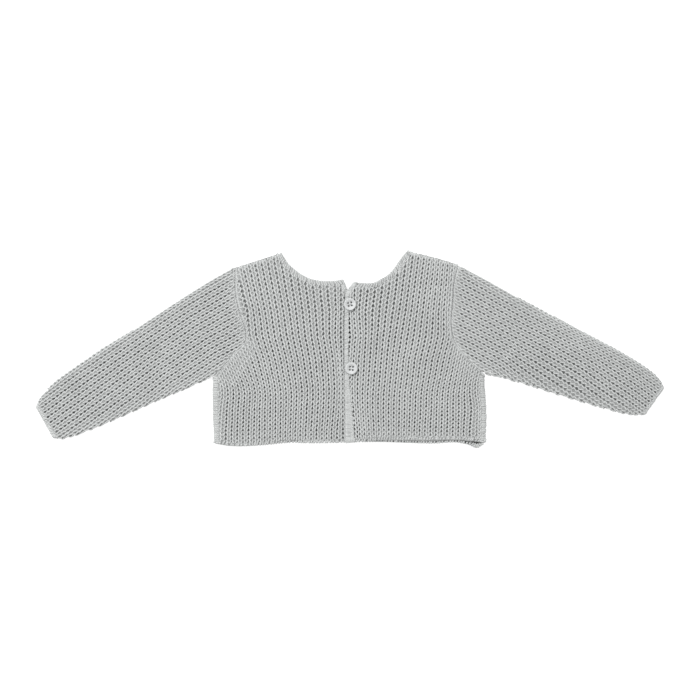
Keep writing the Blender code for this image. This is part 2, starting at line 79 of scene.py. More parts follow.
RIB_PITCH = 5.1 * MM
RIB_CENTRE = -4.75 * MM
RIB_BENDS = (-40.3 * MM, 9.0 * MM)
BEND_REACH = 8 * MM
RIB_LEAN = {  # a rib's number from the centre, its steps out for each step up, and more past the second bend
    "left": [
        (0, 0.0, 0.0), (2, 0.08, 0.0), (4, 0.12, 0.0), (8, 0.17, 0.0), (12, 0.21, 0.0), (15, 0.25, 0.0),
        (18, 0.4, 0.0),
    ],
    "right": [
        (0, 0.0, 0.0), (2, 0.06, 0.02), (4, 0.08, 0.03), (8, 0.12, 0.015), (12, 0.17, -0.04),
        (16, 0.21, -0.125),
    ],
}
SHIFT_HEIGHTS = (-78.0, -55.0, -32.0, -9.5, 13.0, 36.0)
RIB_SHIFT = {  # a rib's number outwards from the centre, and how many millimetres further out it lies there
    "left": [
        (0, 2.0, 2.5, 2.5, 4.0, 4.3, 4.2),
        (1, 2.8, 0.6, -0.3, 0.0, 2.5, 0.2),
        (2, 2.8, 0.7, -0.6, -0.9, 0.4, -1.3),
        (4, 1.7, 0.3, -0.8, -1.6, -0.5, -1.6),
        (8, 1.9, 0.8, -0.6, -1.0, -0.2, -1.0),
        (12, 0.3, -0.2, -0.6, -1.1, 0.3, -1.2),
        (15, -0.2, -0.3, -1.4, -1.5, 0.5, -3.4),
        (18, 0.0, -0.9, -2.8, -2.8, 0.0, -3.6),
        (22, 1.1, 0.0, -2.8, -2.8, 0.0, -3.6),
        (23, 2.6, 0.9, -2.8, -2.8, 0.0, -3.6),
        (26, 0.5, 0.0, -2.8, -2.8, 0.0, -3.6),
    ],
    "right": [
        (0, 4.7, 2.8, 2.4, 3.2, 4.8, 4.0),
        (1, 4.2, 2.5, 1.2, 1.9, 3.2, 0.5),
        (2, 3.7, 1.8, 1.2, 1.0, 1.4, -2.1),
        (3, 2.9, 1.2, 1.0, 0.8, 0.5, -2.0),
        (5, 1.9, 0.5, 0.8, 0.7, 0.3, -0.6),
        (7, 1.0, 0.6, 1.0, 0.5, 0.4, 0.8),
        (9, 0.2, 0.3, 0.9, 0.2, 0.6, 1.3),
        (12, -0.6, 0.4, 0.7, -0.3, 0.7, 0.6),
        (15, -1.0, 0.4, 0.8, 0.0, 1.4, -0.2),
        (18, -0.6, 0.2, 0.6, 0.6, 1.5, -1.5),
        (20, 0.3, 0.4, 0.5, 0.5, 1.0, -1.0),
        (22, 0.2, 1.4, 0.2, 0.0, 0.0, 0.0),
        (23, 1.0, 2.5, -0.5, 0.0, 0.0, 0.0),
        (24, 2.9, 3.5, -0.8, 0.0, 0.0, 0.0),
        (26.2, 0.0, 0.0, 0.0, 0.0, 0.0, 0.0),
    ],
}
ROW = 4.45 * MM
HEM_TIGHTENS = (3.0 * MM, 6)  # how much less its first rows take up, and over how many rows
FIRST_ROW_AT = -87.0 * MM
SAG_REACH = 118 * MM
SAG_RISES = (-98 * MM, 12 * MM)
SAG_AT_HEM = {"left": 4.4 * MM, "right": 0.9 * MM}
SAG_AT_CHEST = {"left": 13.5 * MM, "right": 12.0 * MM}
SAG_LOSS = 4.0 * MM
SAG_FALLS = (10 * MM, 95 * MM)

SHOULDER = {
    "left": [(-65.4, 92.4), (-71.0, 90.2), (-90.0, 84.2), (-109.3, 78.0)],
    "right": [(54.4, 94.6), (66.5, 91.2), (84.0, 86.8), (102.6, 81.0)],
}
ARMHOLE = {
    "left": [
        (-109.3, 78.0), (-108.6, 52.0), (-105.0, 36.0), (-99.4, 19.0), (-99.4, 8.6), (-108.3, -1.9),
        (-118.8, -12.8), (-129.7, -25.0),
    ],
    "right": [
        (102.6, 81.0), (98.8, 64.6), (97.6, 44.7), (96.0, 24.7), (99.2, 8.6), (109.0, -4.5),
        (119.5, -15.5), (128.9, -24.0),
    ],
}
HEM = {
    "left": [
        (-129.7, -88.6), (-116.0, -91.0), (-82.0, -90.6), (-60.0, -88.5), (-34.0, -88.8), (6.0, -87.8),
    ],
    "right": [(-4.75, -87.4), (14.0, -86.8), (30.0, -85.9), (70.0, -86.0), (105.0, -85.6), (128.9, -88.0)],
    "back": [
        (-128.9, -87.6), (-60.0, -87.3), (-34.0, -88.1), (0.0, -87.4), (36.0, -87.2), (80.0, -88.6),
        (104.0, -87.9), (114.0, -90.2), (120.5, -93.1), (127.6, -89.0),
    ],
}
BACK_NECKLINE = [
    (-65.5, 91.8), (-61.0, 80.0), (-48.0, 64.0), (-28.0, 54.5), (-4.0, 51.5), (20.0, 54.5), (39.5, 64.0),
    (51.0, 78.0), (57.5, 91.8),
]
NECK_BAND_WIDTH = 4.75 * MM
HEM_BIND = 3.2 * MM
LINE_STEP = 3 * MM

YARN_RADIUS = 0.78 * MM
LEG_SWING = 0.215  # of a rib, how far the legs of a stitch lean out at its top
LOOP_REACH = 0.70  # of a row, from a stitch's middle to its head
RIB_HEIGHT = 0.95 * MM
LEG_HEIGHT = 0.55 * MM
HEAD_DROP = 0.25 * MM
YARN_LEVEL = -0.95 * MM


def ease(value, start, end):
    """0 before start and 1 after end, with a smooth step between them."""
    t = np.clip((value - start) / (end - start), 0.0, 1.0)
    return t * t * (3 - 2 * t)


def plan(table):
    """A table of points in millimetres as an array in metres, from the middle of the lay."""
    return (np.array(table, float) - MIDDLE) * MM


def smooth_line(table, step):
    """A smooth line through a table's points, with a point about every step metres."""
    knots = plan(table)
    gaps = np.linalg.norm(np.diff(knots, axis=0), axis=1)
    slopes = np.diff(knots, axis=0) / gaps[:, None]
    share = (gaps[:-1] / (gaps[:-1] + gaps[1:]))[:, None]
    leans = np.vstack([slopes[:1], slopes[:-1] * (1 - share) + slopes[1:] * share, slopes[-1:]])
    line = []
    for start, end, gap, lean_in, lean_out in zip(knots, knots[1:], gaps, leans, leans[1:]):
        t = np.linspace(0, 1, max(1, round(gap / step)), endpoint=False)[:, None]
        near = (1 + 2 * t) * (1 - t) ** 2 * start + t * (1 - t) ** 2 * gap * lean_in
        far = t * t * (3 - 2 * t) * end + t * t * (t - 1) * gap * lean_out
        line.append(near + far)
    return np.vstack(line + [knots[-1:]])


def offset_line(line, distance):
    """The line moved sideways, to its right as it runs, by a number or by one number a point."""
    along = np.gradient(line, axis=0)
    along /= np.linalg.norm(along, axis=1)[:, None]
    return line + np.stack([along[:, 1], -along[:, 0]], axis=1) * np.reshape(distance, (-1, 1))


def run_along(line):
    """How far along a line each of its points is."""
    return np.concatenate([[0], np.cumsum(np.linalg.norm(np.diff(line, axis=0), axis=1))])


def stretches_of(line):
    """A line's straight stretches, each from one point to the next."""
    return np.stack([line[:-1], line[1:]], axis=1)


def add_piece(name, mesh, material, slot, *nodes):
    """A finished piece: it rides on the one body, and may stand for CAD nodes."""
    piece = bpy.data.objects.new(name, mesh)
    bpy.context.scene.collection.objects.link(piece)
    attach(piece, "root")
    if nodes:
        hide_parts(*nodes)
    piece.data.materials.append(material)
    return piece


def above(y, bend):
    """How far heights are above a bend of the ribs, with a soft start."""
    reach = np.clip((y - bend + BEND_REACH) / (2 * BEND_REACH), 0.0, 1.0)
    return BEND_REACH * reach**2 + np.maximum(y - bend - BEND_REACH, 0.0)


def rib_x(side, number, y):
    """Where the solids' rib lines of these numbers from the centre cross these heights."""
    table = np.array(RIB_LEAN[side])
    first, second = (np.interp(np.abs(number), table[:, 0], table[:, column]) for column in (1, 2))
    lean = first * above(y, RIB_BENDS[0]) + second * above(y, RIB_BENDS[1])
    return RIB_CENTRE + number * RIB_PITCH + np.copysign(lean, number)


def rib_shift(side, number, y):
    """How far the ribs of the cloth as it lies are to the side of those lines."""
    outwards = -1 if side == "left" else 1
    table = np.array(RIB_SHIFT[side])
    columns = np.stack([np.interp(outwards * number, table[:, 0], column) for column in table[:, 1:].T])
    level = np.interp(y / MM, SHIFT_HEIGHTS, np.arange(len(SHIFT_HEIGHTS)))
    below = np.minimum(level.astype(int), len(SHIFT_HEIGHTS) - 2)
    each = np.arange(len(below))
    shift = columns[below, each] * (1 - level + below) + columns[below + 1, each] * (level - below)
    return outwards * MM * shift


def rows_take_up(row, each, less, over):
    """How far rows reach from a bound-off edge, near which they are tighter."""
    return each * row - less * (1 - np.exp(-row / over))


def body_plan(side, wale, row):
    """Where a rib's number and a row's number meet on the body. The rows sag from the middle to the sides."""
    level = FIRST_ROW_AT + rows_take_up(row, ROW, *HEM_TIGHTENS)
    sag = SAG_AT_HEM[side] + (SAG_AT_CHEST[side] - SAG_AT_HEM[side]) * ease(level, *SAG_RISES)
    sag = sag - SAG_LOSS * ease(level, *SAG_FALLS)
    y = level
    for _ in range(5):
        x = rib_x(side, wale, y) + rib_shift(side, wale, y)
        y = level - sag * ease(np.abs(x - RIB_CENTRE), 0, SAG_REACH)
    return x, y


def ring_faces(rings, around):
    """The four-sided faces between closed rings of points that follow each other."""
    i, k = np.meshgrid(np.arange(rings - 1), np.arange(around), indexing="ij")
    after = (k + 1) % around
    corners = [i * around + k, i * around + after, (i + 1) * around + after, (i + 1) * around + k]
    return np.stack(corners, axis=-1).reshape(-1, 4)


def yarn_tubes(name, runs, sides):
    """Closed tubes of yarn along runs of (points, outward directions, radii), in one mesh.

    The map yarn has millimetres along a tube and its turn round it. In OFBake each tube has its own strip."""
    turn = 2 * np.pi * np.arange(sides) / sides
    longest = max(len(run[0]) for run in runs)
    room = 1 / len(runs)
    points, faces, yarn, baked = [], [], [], []
    first = 0
    for number, (line, outward, radius) in enumerate(runs):
        count = len(line)
        ahead = np.gradient(line, axis=0)
        ahead /= np.linalg.norm(ahead, axis=1)[:, None]
        across = np.cross(ahead, outward)
        across /= np.linalg.norm(across, axis=1)[:, None]
        up = np.cross(across, ahead)
        ring = np.cos(turn)[None, :, None] * across[:, None] + np.sin(turn)[None, :, None] * up[:, None]
        points.append((line[:, None] + ring * radius[:, None, None]).reshape(-1, 3))
        faces.append(ring_faces(count, sides) + first)
        i, k = np.meshgrid(np.arange(count - 1), np.arange(sides), indexing="ij")
        run = run_along(line) / MM
        share = 0.02 + 0.96 * np.arange(count) / longest
        low = (number + 0.08) * room
        tall = 0.84 * room / sides
        for store, lengths, base, step in ((yarn, run, 0.0, 1 / sides), (baked, share, low, tall)):
            flat = [(lengths[i], base + k * step), (lengths[i], base + (k + 1) * step)]
            flat += [(lengths[i + 1], base + (k + 1) * step), (lengths[i + 1], base + k * step)]
            store.append(np.stack([np.stack(pair, axis=-1) for pair in flat], axis=2).reshape(-1, 2))
        start = (np.arange(sides)[::-1], first, 0.006)
        stop = (np.arange(sides), first + (count - 1) * sides, share[-1] + 0.012)
        for end, base, where in (start, stop):
            cap = np.stack([np.zeros(sides - 2, int), np.arange(1, sides - 1), np.arange(2, sides)], axis=1)
            faces.append((end[cap] + base).tolist())
            disc = np.stack([np.cos(turn[end]), np.sin(turn[end])], axis=1)
            baked.append((disc * (0.004, 0.378 * room) + (where, low + 0.42 * room))[cap].reshape(-1, 2))
            yarn.append(disc[cap].reshape(-1, 2))
        first += count * sides
    mesh = bpy.data.meshes.new(name)
    sizes = np.concatenate([np.full(len(block), len(block[0])) for block in faces])
    corners = np.concatenate([np.array(block).ravel() for block in faces])
    mesh.vertices.add(first)
    mesh.vertices.foreach_set("co", np.concatenate(points).ravel())
    mesh.loops.add(len(corners))
    mesh.loops.foreach_set("vertex_index", corners)
    mesh.polygons.add(len(sizes))
    mesh.polygons.foreach_set("loop_start", np.concatenate([[0], np.cumsum(sizes)[:-1]]))
    mesh.polygons.foreach_set("use_smooth", np.ones(len(sizes), bool))
    mesh.update(calc_edges=True)
    for title, values in (("yarn", yarn), ("OFBake", baked)):
        layer = mesh.uv_layers.new(name=title)
        layer.data.foreach_set("uv", np.concatenate(values).ravel())
    mesh.validate()
    return mesh


def knitted_rows(rows, wales, place, fineness, thickness, relief, seed):
    """The rows of a knitted piece as runs of yarn, each stitch a loop a little unlike the next.

    place(wale, row) gives points on the cloth, the outward directions there, and whether cloth is there."""
    rng = np.random.default_rng(seed)
    runs = []
    for row in rows:
        t = np.arange(wales[0], wales[1] + 0.5 / fineness, 1 / fineness)
        stitches = np.arange(wales[0] - 1, wales[1] + 2)
        uneven = rng.normal(size=(4, len(stitches)))
        lean, lift, rise, plump = (np.interp(t, stitches + 0.5, values) for values in uneven)
        off = t - 0.5 - np.round(t - 0.5)
        wale = t + LEG_SWING * np.sin(4 * np.pi * off) + 0.022 * lean
        level = row + LOOP_REACH * np.cos(2 * np.pi * off) + 0.035 * lift
        crest = np.cos(np.pi * (wale - 0.5)) ** 2
        height = YARN_LEVEL + RIB_HEIGHT * crest - LEG_HEIGHT * np.cos(4 * np.pi * off)
        height = height - HEAD_DROP * np.maximum(np.cos(2 * np.pi * off), 0) ** 4 + 0.05 * MM * rise
        cloth, outward, there = place(wale, level)
        line = cloth + outward * (relief * height)[:, None]
        radius = thickness * (1 + 0.05 * plump)
        edges = np.flatnonzero(np.diff(np.concatenate([[0], there.astype(int), [0]])))
        for start, stop in zip(edges[::2], edges[1::2]):
            if stop - start > 0.25 * fineness:
                runs.append((line[start:stop], outward[start:stop], radius[start:stop]))
    return runs


def merged_solid(node):
    """A copy of a CAD node's mesh with its triangles joined."""
    shape = bmesh.new()
    shape.from_mesh(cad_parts[node].data)
    bmesh.ops.remove_doubles(shape, verts=shape.verts, dist=0.01 * MM)
    bmesh.ops.recalc_face_normals(shape, faces=shape.faces)
    return shape


def outline(*edges):
    """A closed outline's stretches in plan, from edges (line, clearance) that follow each other round it."""
    stretches, clearances = [], []
    before = edges[-1][0][-1]
    for line, clearance in edges:
        line = np.vstack([before, line])
        keep = np.linalg.norm(np.diff(line, axis=0), axis=1) > 0.001 * MM
        stretches.append(stretches_of(line)[keep])
        clearances.append(np.broadcast_to(clearance, len(line) - 1)[keep])
        before = line[-1]
    return np.concatenate(stretches), np.concatenate(clearances)


def distances(x, y, stretches):
    """How far points in plan are from each of some straight stretches."""
    (x1, y1), (x2, y2) = stretches[:, 0].T, stretches[:, 1].T
    px, py = x[:, None], y[:, None]
    length = (x2 - x1) ** 2 + (y2 - y1) ** 2
    t = np.clip(((px - x1) * (x2 - x1) + (py - y1) * (y2 - y1)) / length, 0, 1)
    return np.hypot(px - x1 - t * (x2 - x1), py - y1 - t * (y2 - y1))


def within(x, y, stretches, clearances):
    """Whether points in plan lie inside an outline, and clear of each stretch of it."""
    (x1, y1), (x2, y2) = stretches[:, 0].T, stretches[:, 1].T
    px, py = x[:, None], y[:, None]
    crosses = (y1 > py) != (y2 > py)
    side = (x2 - x1) * (py - y1) / np.where(y2 == y1, 1e-12, y2 - y1) + x1
    inside = (crosses & (px < side)).sum(axis=1) % 2 == 1
    return inside & (distances(x, y, stretches) >= clearances).all(axis=1)


def yarn_material(name, colour, twist, fuzz):
    """Soft spun yarn: plies that turn round the strand, their grooves painted darker as shade, fine fuzz, and
    a slight change of grey along it.
    """
    material = bpy.data.materials.new(name)
    material.use_nodes = True
    nodes, links = material.node_tree.nodes, material.node_tree.links
    shader = nodes["Principled BSDF"]
    shader.inputs["Roughness"].default_value = 0.9
    shader.inputs["Sheen Weight"].default_value = 0.25
    shader.inputs["Sheen Roughness"].default_value = 0.5
    shader.inputs["Specular IOR Level"].default_value = 0.2
    spun = nodes.new("ShaderNodeGroup")
    spun.node_tree = spun_yarn
    spun.inputs["Colour"].default_value = (*colour, 1)
    spun.inputs["Twist"].default_value = twist
    spun.inputs["Fuzz"].default_value = fuzz
    bump = nodes.new("ShaderNodeBump")
    bump.inputs["Strength"].default_value = 0.6
    bump.inputs["Distance"].default_value = 0.25 * MM
    links.new(spun.outputs["Colour"], shader.inputs["Base Color"])
    links.new(spun.outputs["Height"], bump.inputs["Height"])
    links.new(bump.outputs["Normal"], shader.inputs["Normal"])
    return material


# The group that all the yarn shares. It reads the map yarn: millimetres along a strand, and turns round it.
spun_yarn = bpy.data.node_groups.new("spun_yarn", "ShaderNodeTree")
for title, kind in (("Colour", "NodeSocketColor"), ("Twist", "NodeSocketFloat"), ("Fuzz", "NodeSocketFloat")):
    spun_yarn.interface.new_socket(title, in_out="INPUT", socket_type=kind)
for title, kind in (("Colour", "NodeSocketColor"), ("Height", "NodeSocketFloat")):
    spun_yarn.interface.new_socket(title, in_out="OUTPUT", socket_type=kind)
given = spun_yarn.nodes.new("NodeGroupInput")
made = spun_yarn.nodes.new("NodeGroupOutput")
strand_map = spun_yarn.nodes.new("ShaderNodeUVMap")
strand_map.uv_map = "yarn"
strand = spun_yarn.nodes.new("ShaderNodeSeparateXYZ")
space = spun_yarn.nodes.new("ShaderNodeTexCoord")


def yarn_math(operation, first, second):
    """A Math node of the group, whose two inputs are sockets or numbers."""
    node = spun_yarn.nodes.new("ShaderNodeMath")
    node.operation = operation
    for socket, value in zip(node.inputs, (first, second)):
        if isinstance(value, bpy.types.NodeSocket):
            spun_yarn.links.new(value, socket)
        else:
            socket.default_value = value
    return node.outputs[0]


def yarn_noise(scale, detail):
    node = spun_yarn.nodes.new("ShaderNodeTexNoise")
    node.inputs["Scale"].default_value = scale
    node.inputs["Detail"].default_value = detail
    spun_yarn.links.new(space.outputs["Object"], node.inputs["Vector"])
    return node.outputs["Fac"]


spun_yarn.links.new(strand_map.outputs["UV"], strand.inputs["Vector"])
PLIES = 3
PLY_TURN = 4.2  # millimetres of yarn for one turn of the plies
along_strand = yarn_math("DIVIDE", strand.outputs["X"], PLY_TURN / PLIES)
turning = yarn_math("ADD", yarn_math("MULTIPLY", strand.outputs["Y"], PLIES), along_strand)
ply = yarn_math("ABSOLUTE", yarn_math("SINE", yarn_math("MULTIPLY", turning, np.pi), 0.0), 0.0)
fibres = yarn_noise(2600, 3)
shades = yarn_noise(330, 2)
drift = yarn_noise(28, 1)
twisted = yarn_math("MULTIPLY", ply, given.outputs["Twist"])
fuzzed = yarn_math("MULTIPLY", fibres, given.outputs["Fuzz"])
spun_yarn.links.new(yarn_math("ADD", twisted, fuzzed), made.inputs["Height"])
grey = yarn_math("ADD", yarn_math("MULTIPLY", shades, 0.36), yarn_math("MULTIPLY", drift, 0.12))
grey = yarn_math("ADD", yarn_math("MULTIPLY", fibres, 0.24), grey)
# The plies' crowns are painted lighter than their grooves: painted shade between the plies, on top of their
# bump.
grey = yarn_math("ADD", grey, yarn_math("MULTIPLY", twisted, 0.46))
grey = yarn_math("ADD", grey, 0.40)
tint = spun_yarn.nodes.new("ShaderNodeVectorMath")
tint.operation = "SCALE"
spun_yarn.links.new(given.outputs["Colour"], tint.inputs["Vector"])
spun_yarn.links.new(grey, tint.inputs["Scale"])
spun_yarn.links.new(tint.outputs["Vector"], made.inputs["Colour"])

YARN_GREY = (0.432, 0.442, 0.438)
# The dark grey below is painted shade, put into the inner cloth where the grooves and holes between the
# strands are in shade.
PAINTED_SHADE_GREY = (0.112, 0.115, 0.114)
grey_yarn = yarn_material("grey_yarn", YARN_GREY, 0.8, 0.5)

# Between the strands the inner cloth carries painted shade: its colour is painted dark in the grooves and
# lighter on the ribs and at seams, by the attribute light.
inner_yarn = yarn_material("inner_yarn", YARN_GREY, 0.0, 1.0)
shading = inner_yarn.node_tree.nodes.new("ShaderNodeMix")
shading.data_type = "RGBA"
shading.inputs["A"].default_value = (*PAINTED_SHADE_GREY, 1)
shading.inputs["B"].default_value = (*YARN_GREY, 1)
how_light = inner_yarn.node_tree.nodes.new("ShaderNodeAttribute")
how_light.attribute_name = "light"
inner_yarn.node_tree.links.new(how_light.outputs["Fac"], shading.inputs["Factor"])
spun_node = next(node for node in inner_yarn.node_tree.nodes if node.type == "GROUP")
inner_yarn.node_tree.links.new(shading.outputs["Result"], spun_node.inputs["Colour"])


def light_cloth(mesh, lightness):
    """How light the painted shade leaves each point of the inner cloth, as the attribute light."""
    mesh.attributes.new("light", "FLOAT", "POINT").data.foreach_set("value", lightness)


def cloth_mesh(name, points, faces, lightness):
    """Inner cloth as one closed mesh, with its faces turned outwards and its painted shade as the attribute
    light.
    """
    mesh = bpy.data.meshes.new(name)
    mesh.from_pydata(points.tolist(), [], faces)
    light_cloth(mesh, lightness)
    shape = bmesh.new()
    shape.from_mesh(mesh)
    bmesh.ops.remove_doubles(shape, verts=shape.verts, dist=0.02 * MM)
    bmesh.ops.recalc_face_normals(shape, faces=shape.faces)
    shape.to_mesh(mesh)
    shape.free()
    mesh.shade_smooth()
    return mesh


def add_rows(name, runs, sides):
    return add_piece(name, yarn_tubes(name, runs, sides), grey_yarn, "knit")


UNDER_LIFT = 1.05 * MM  # of the yarn on the undersides, so that it rests on the surface
UNDER_RELIEF = 0.5
UNDER_YARN_RADIUS = 0.75 * MM
YARN_SIDES, UNDER_SIDES = 6, 4  # of a tube of yarn
YARN_POINTS, UNDER_POINTS = 14, 9  # along it for each stitch
SIDE_CLEAR = 3.0 * MM
ARMHOLE_CLEAR = 0.9 * MM
SHOULDER_CLEAR = 1.2 * MM
BACK_FACE = 1.3 * MM
BACK_TOP = 2.2 * MM
BACK_TOP_AT_HEM = 1.5 * MM
FOLD_PULL = 1.8 * MM  # of the inner cloth, in from the sides' folds

shoulders = [smooth_line(SHOULDER[side], LINE_STEP) for side in ("left", "right")]
armholes = [smooth_line(ARMHOLE[side], LINE_STEP) for side in ("left", "right")]
back_outline = outline(
    (smooth_line(HEM["back"], LINE_STEP), SIDE_CLEAR),
    (armholes[1][-1:], SIDE_CLEAR),
    (armholes[1][-2::-1], ARMHOLE_CLEAR),
    (shoulders[1][::-1], SHOULDER_CLEAR),
    (smooth_line(BACK_NECKLINE, LINE_STEP)[::-1], NECK_BAND_WIDTH),
    (shoulders[0], SHOULDER_CLEAR),
    (armholes[0], ARMHOLE_CLEAR),
    (smooth_line(HEM["back"], LINE_STEP)[:1], SIDE_CLEAR),
)


def back_place(wale, row):
    x, y = body_plan("right", wale, row)
    points = np.stack([x, y, np.full_like(x, UNDER_LIFT)], axis=1)
    outward = np.tile([0.0, 0.0, -1.0], (len(x), 1))
    return points, outward, within(x, y, *back_outline)


back_shape = merged_solid("back")
hem_line = stretches_of(smooth_line(HEM["back"], LINE_STEP))
fold_left, fold_right = armholes[0][-1][0] + FOLD_PULL, armholes[1][-1][0] - FOLD_PULL
for vert in back_shape.verts:
    from_hem = distances(np.array([vert.co.x]), np.array([vert.co.y]), hem_line).min()
    top = BACK_TOP_AT_HEM if from_hem < 1 * MM else BACK_TOP
    vert.co.z = BACK_FACE if vert.co.z < 1 * MM else top
    vert.co.x = min(max(vert.co.x, fold_left), fold_right)
back_mesh = bpy.data.meshes.new("back_cloth")
back_shape.to_mesh(back_mesh)
back_shape.free()
# The back's inner cloth is painted nearly all dark, as shade where it shows between the strands.
light_cloth(back_mesh, np.full(len(back_mesh.vertices), 0.1))
add_piece("back_cloth", back_mesh, inner_yarn, "knit", "back")
runs = knitted_rows(range(-1, 45), (-25, 27), back_place, UNDER_POINTS, UNDER_YARN_RADIUS, UNDER_RELIEF, 3)
add_rows("back_rows", runs, UNDER_SIDES)

# ---------------------------------------------------------------- the two fronts
# Each front is knitted like the back. Its ribs run straight up to a bend, and lean outwards from there. It
# folds round at its side, and the right front laps over the left one at the opening and climbs on it.

LOFT = 0.9 * MM
LAP_CLIMB = WALL + RIB_RELIEF + SEAM_GAP
LAP_FULL_TO = 8.5 * MM
LAP_DOWN_AT = 34 * MM
GROOVE_FACE = 0.8 * MM
CREST_FACE = 2.25 * MM
SHELL_ROWS = 6 * MM
SHIFT_FADES = 6 * MM  # beside the rim, where the cloth stays in its outline
LIGHT_BESIDE = {  # how far the cloth is light beside an edge, where it is painted dark again as shade, and how light
    "armhole": (2.5 * MM, 6.0 * MM, 0.9),
    "side": (8.5 * MM, 11.0 * MM, 0.8),
    "hem": (2.4 * MM, 4.6 * MM, 0.9),
    "neck": (5.2 * MM, 8.6 * MM, 0.75),
    "gusset": (7.8 * MM, 10.6 * MM, 0.85),
    "opening": (2.4 * MM, 5.6 * MM, 0.62),
}
# How light the painted shade of the inner cloth stays on the upper chest.
CHEST_LIGHTNESS = 0.2
CHEST_FROM = (-10 * MM, 40 * MM)
OPENING_LIGHT = {  # beside the opening
    "left": [(-4.75, 64.0), (-4.75, 24.0)],
    "right": [
        (4.6, 66.0), (0.6, 58.0), (-1.0, 48.0), (0.0, 15.0), (-1.5, -10.0), (0.5, -40.0), (3.5, -60.0),
        (4.5, -88.0),
    ],
}
GUSSET = {  # the middle of the plain cloth under the arm, along its armhole
    "left": [(-98.5, 4.0), (-100.0, -2.0), (-108.0, -16.0), (-114.0, -22.5), (-122.0, -22.5)],
    "right": [(104.0, 2.0), (106.0, -3.0), (109.0, -12.0), (114.0, -18.5), (122.0, -18.0)],
}
SLEEVE_QUIET = (4.0 * MM, 8.0 * MM)
FOLD_QUIET = (3.6 * MM, 11.0 * MM)
# The folds, the seams and the ribs' crests lighten the inner cloth's painted shade by these amounts.
FOLD_LIGHTNESS = 0.68
SEAM_FACE = 1.9 * MM
SEAM_LIGHTNESS = 0.9
RIDGE_LIGHT = 0.74
SIDE_STRIP = 4.8 * MM
NECKLINE = {
    "left": [
        (-65.4, 92.4), (-63.6, 90.6), (-60.0, 84.2), (-53.6, 77.9), (-46.6, 72.6), (-39.0, 68.6),
        (-28.5, 66.2), (-16.0, 66.0), (-6.2, 67.4),
    ],
    "right": [
        (54.4, 94.6), (50.0, 89.6), (45.6, 83.6), (41.8, 77.9), (37.1, 72.6), (29.8, 68.0), (23.0, 64.2),
        (15.0, 63.6), (7.6, 64.2),
    ],
}
OPENING_EDGE = {
    "left": [(-6.2, 67.4), (-2.6, 57.0), (3.0, 44.0), (5.6, 33.0), (6.0, 20.0), (6.0, -87.8)],
    "right": [
        (7.6, 64.2), (4.4, 64.8), (1.7, 62.6), (-0.3, 59.8), (-2.4, 57.4), (-4.6, 51.5), (-4.9, 42.0),
        (-4.75, -87.4),
    ],
}
SELVEDGE_WIDTH = [(68.0, 3.6), (0.0, 3.6), (-30.0, 4.4), (-60.0, 7.0), (-92.0, 9.6)]  # height, width
CREASES = [  # start, end, rise and half width in millimetres
    ((-103, 4), (-62, -26), -0.35, 7),
    ((-118, -30), (-84, -58), 0.4, 9),
    ((98, 2), (60, -24), -0.35, 8),
    ((117, -34), (88, -70), 0.45, 9),
    ((-60, 60), (-30, 20), 0.3, 11),
    ((48, 62), (26, 8), 0.3, 12),
    ((-175, 22), (-150, -20), 0.35, 8),
    ((-205, 10), (-236, -44), -0.4, 9),
    ((-255, -32), (-268, -62), 0.35, 6),
    ((170, 28), (150, -18), 0.35, 8),
    ((206, 8), (228, -30), -0.4, 9),
    ((256, -14), (262, -48), 0.35, 6),
]


def fold_x(side):
    return plan(ARMHOLE[side])[-1][0]


def crease(x, y):
    """The lie of the cloth: soft troughs and ridges, as it settles when it is laid down."""
    rise = np.zeros_like(x)
    for start, end, height, half_width in CREASES:
        a, b = plan(start), plan(end)
        t = ((x - a[0]) * (b - a)[0] + (y - a[1]) * (b - a)[1]) / ((b - a) ** 2).sum()
        aside = np.hypot(x - a[0] - np.clip(t, 0, 1) * (b - a)[0], y - a[1] - np.clip(t, 0, 1) * (b - a)[1])
        rise = rise + height * MM * np.exp(-((aside / (half_width * MM)) ** 2))
    return rise


def front_inside(side, x, y):
    """The height of a front's inner side over the back, with the lap at the opening."""
    swell = ease(np.abs(x - fold_x(side)), 2 * MM, 30 * MM) * ease(np.abs(x), 6 * MM, 40 * MM)
    swell = LOFT * swell * ease(y, -92 * MM, -60 * MM) * ease(-y, -84 * MM, -50 * MM)
    lap = 1 - ease(x, LAP_FULL_TO, LAP_DOWN_AT) if side == "right" else 0.0
    return WALL + SEAM_GAP + swell + LAP_CLIMB * lap


def front_top(side, x, y):
    """The height of the yarn's outer side on a front."""
    return front_inside(side, x, y) + WALL + crease(x, y)


def front_place(side, wale, row):
    """A front's surface at a rib and a row."""
    x, y = body_plan(side, wale, row)
    points = np.stack([x, y, front_top(side, x, y)], axis=1)
    outward = np.tile([0.0, 0.0, 1.0], (len(x), 1))
    return points, outward, within(x, y, *front_outlines[side])


def selvedge_widths(line):
    heights, widths = np.array(SELVEDGE_WIDTH[::-1]).T
    return np.interp(line[:, 1], (heights - MIDDLE[1]) * MM, widths * MM)


def front_edges(side):
    """A front's outline, with how far its rows stay from each edge."""
    opening = smooth_line(OPENING_EDGE[side], LINE_STEP)
    hem = smooth_line(HEM[side], LINE_STEP)[:: -1 if side == "left" else 1]
    armhole = armholes[side == "right"][::-1]
    return outline(
        (smooth_line(NECKLINE[side], LINE_STEP), NECK_BAND_WIDTH - 0.9 * MM),
        (opening, selvedge_widths(opening) - 0.3 * MM),
        (hem, HEM_BIND - 1.2 * MM),
        (armhole[:1], SIDE_STRIP - 0.4 * MM),
        (armhole[1:], 1.0 * MM),
        (shoulders[side == "right"][::-1], SHOULDER_CLEAR),
    )


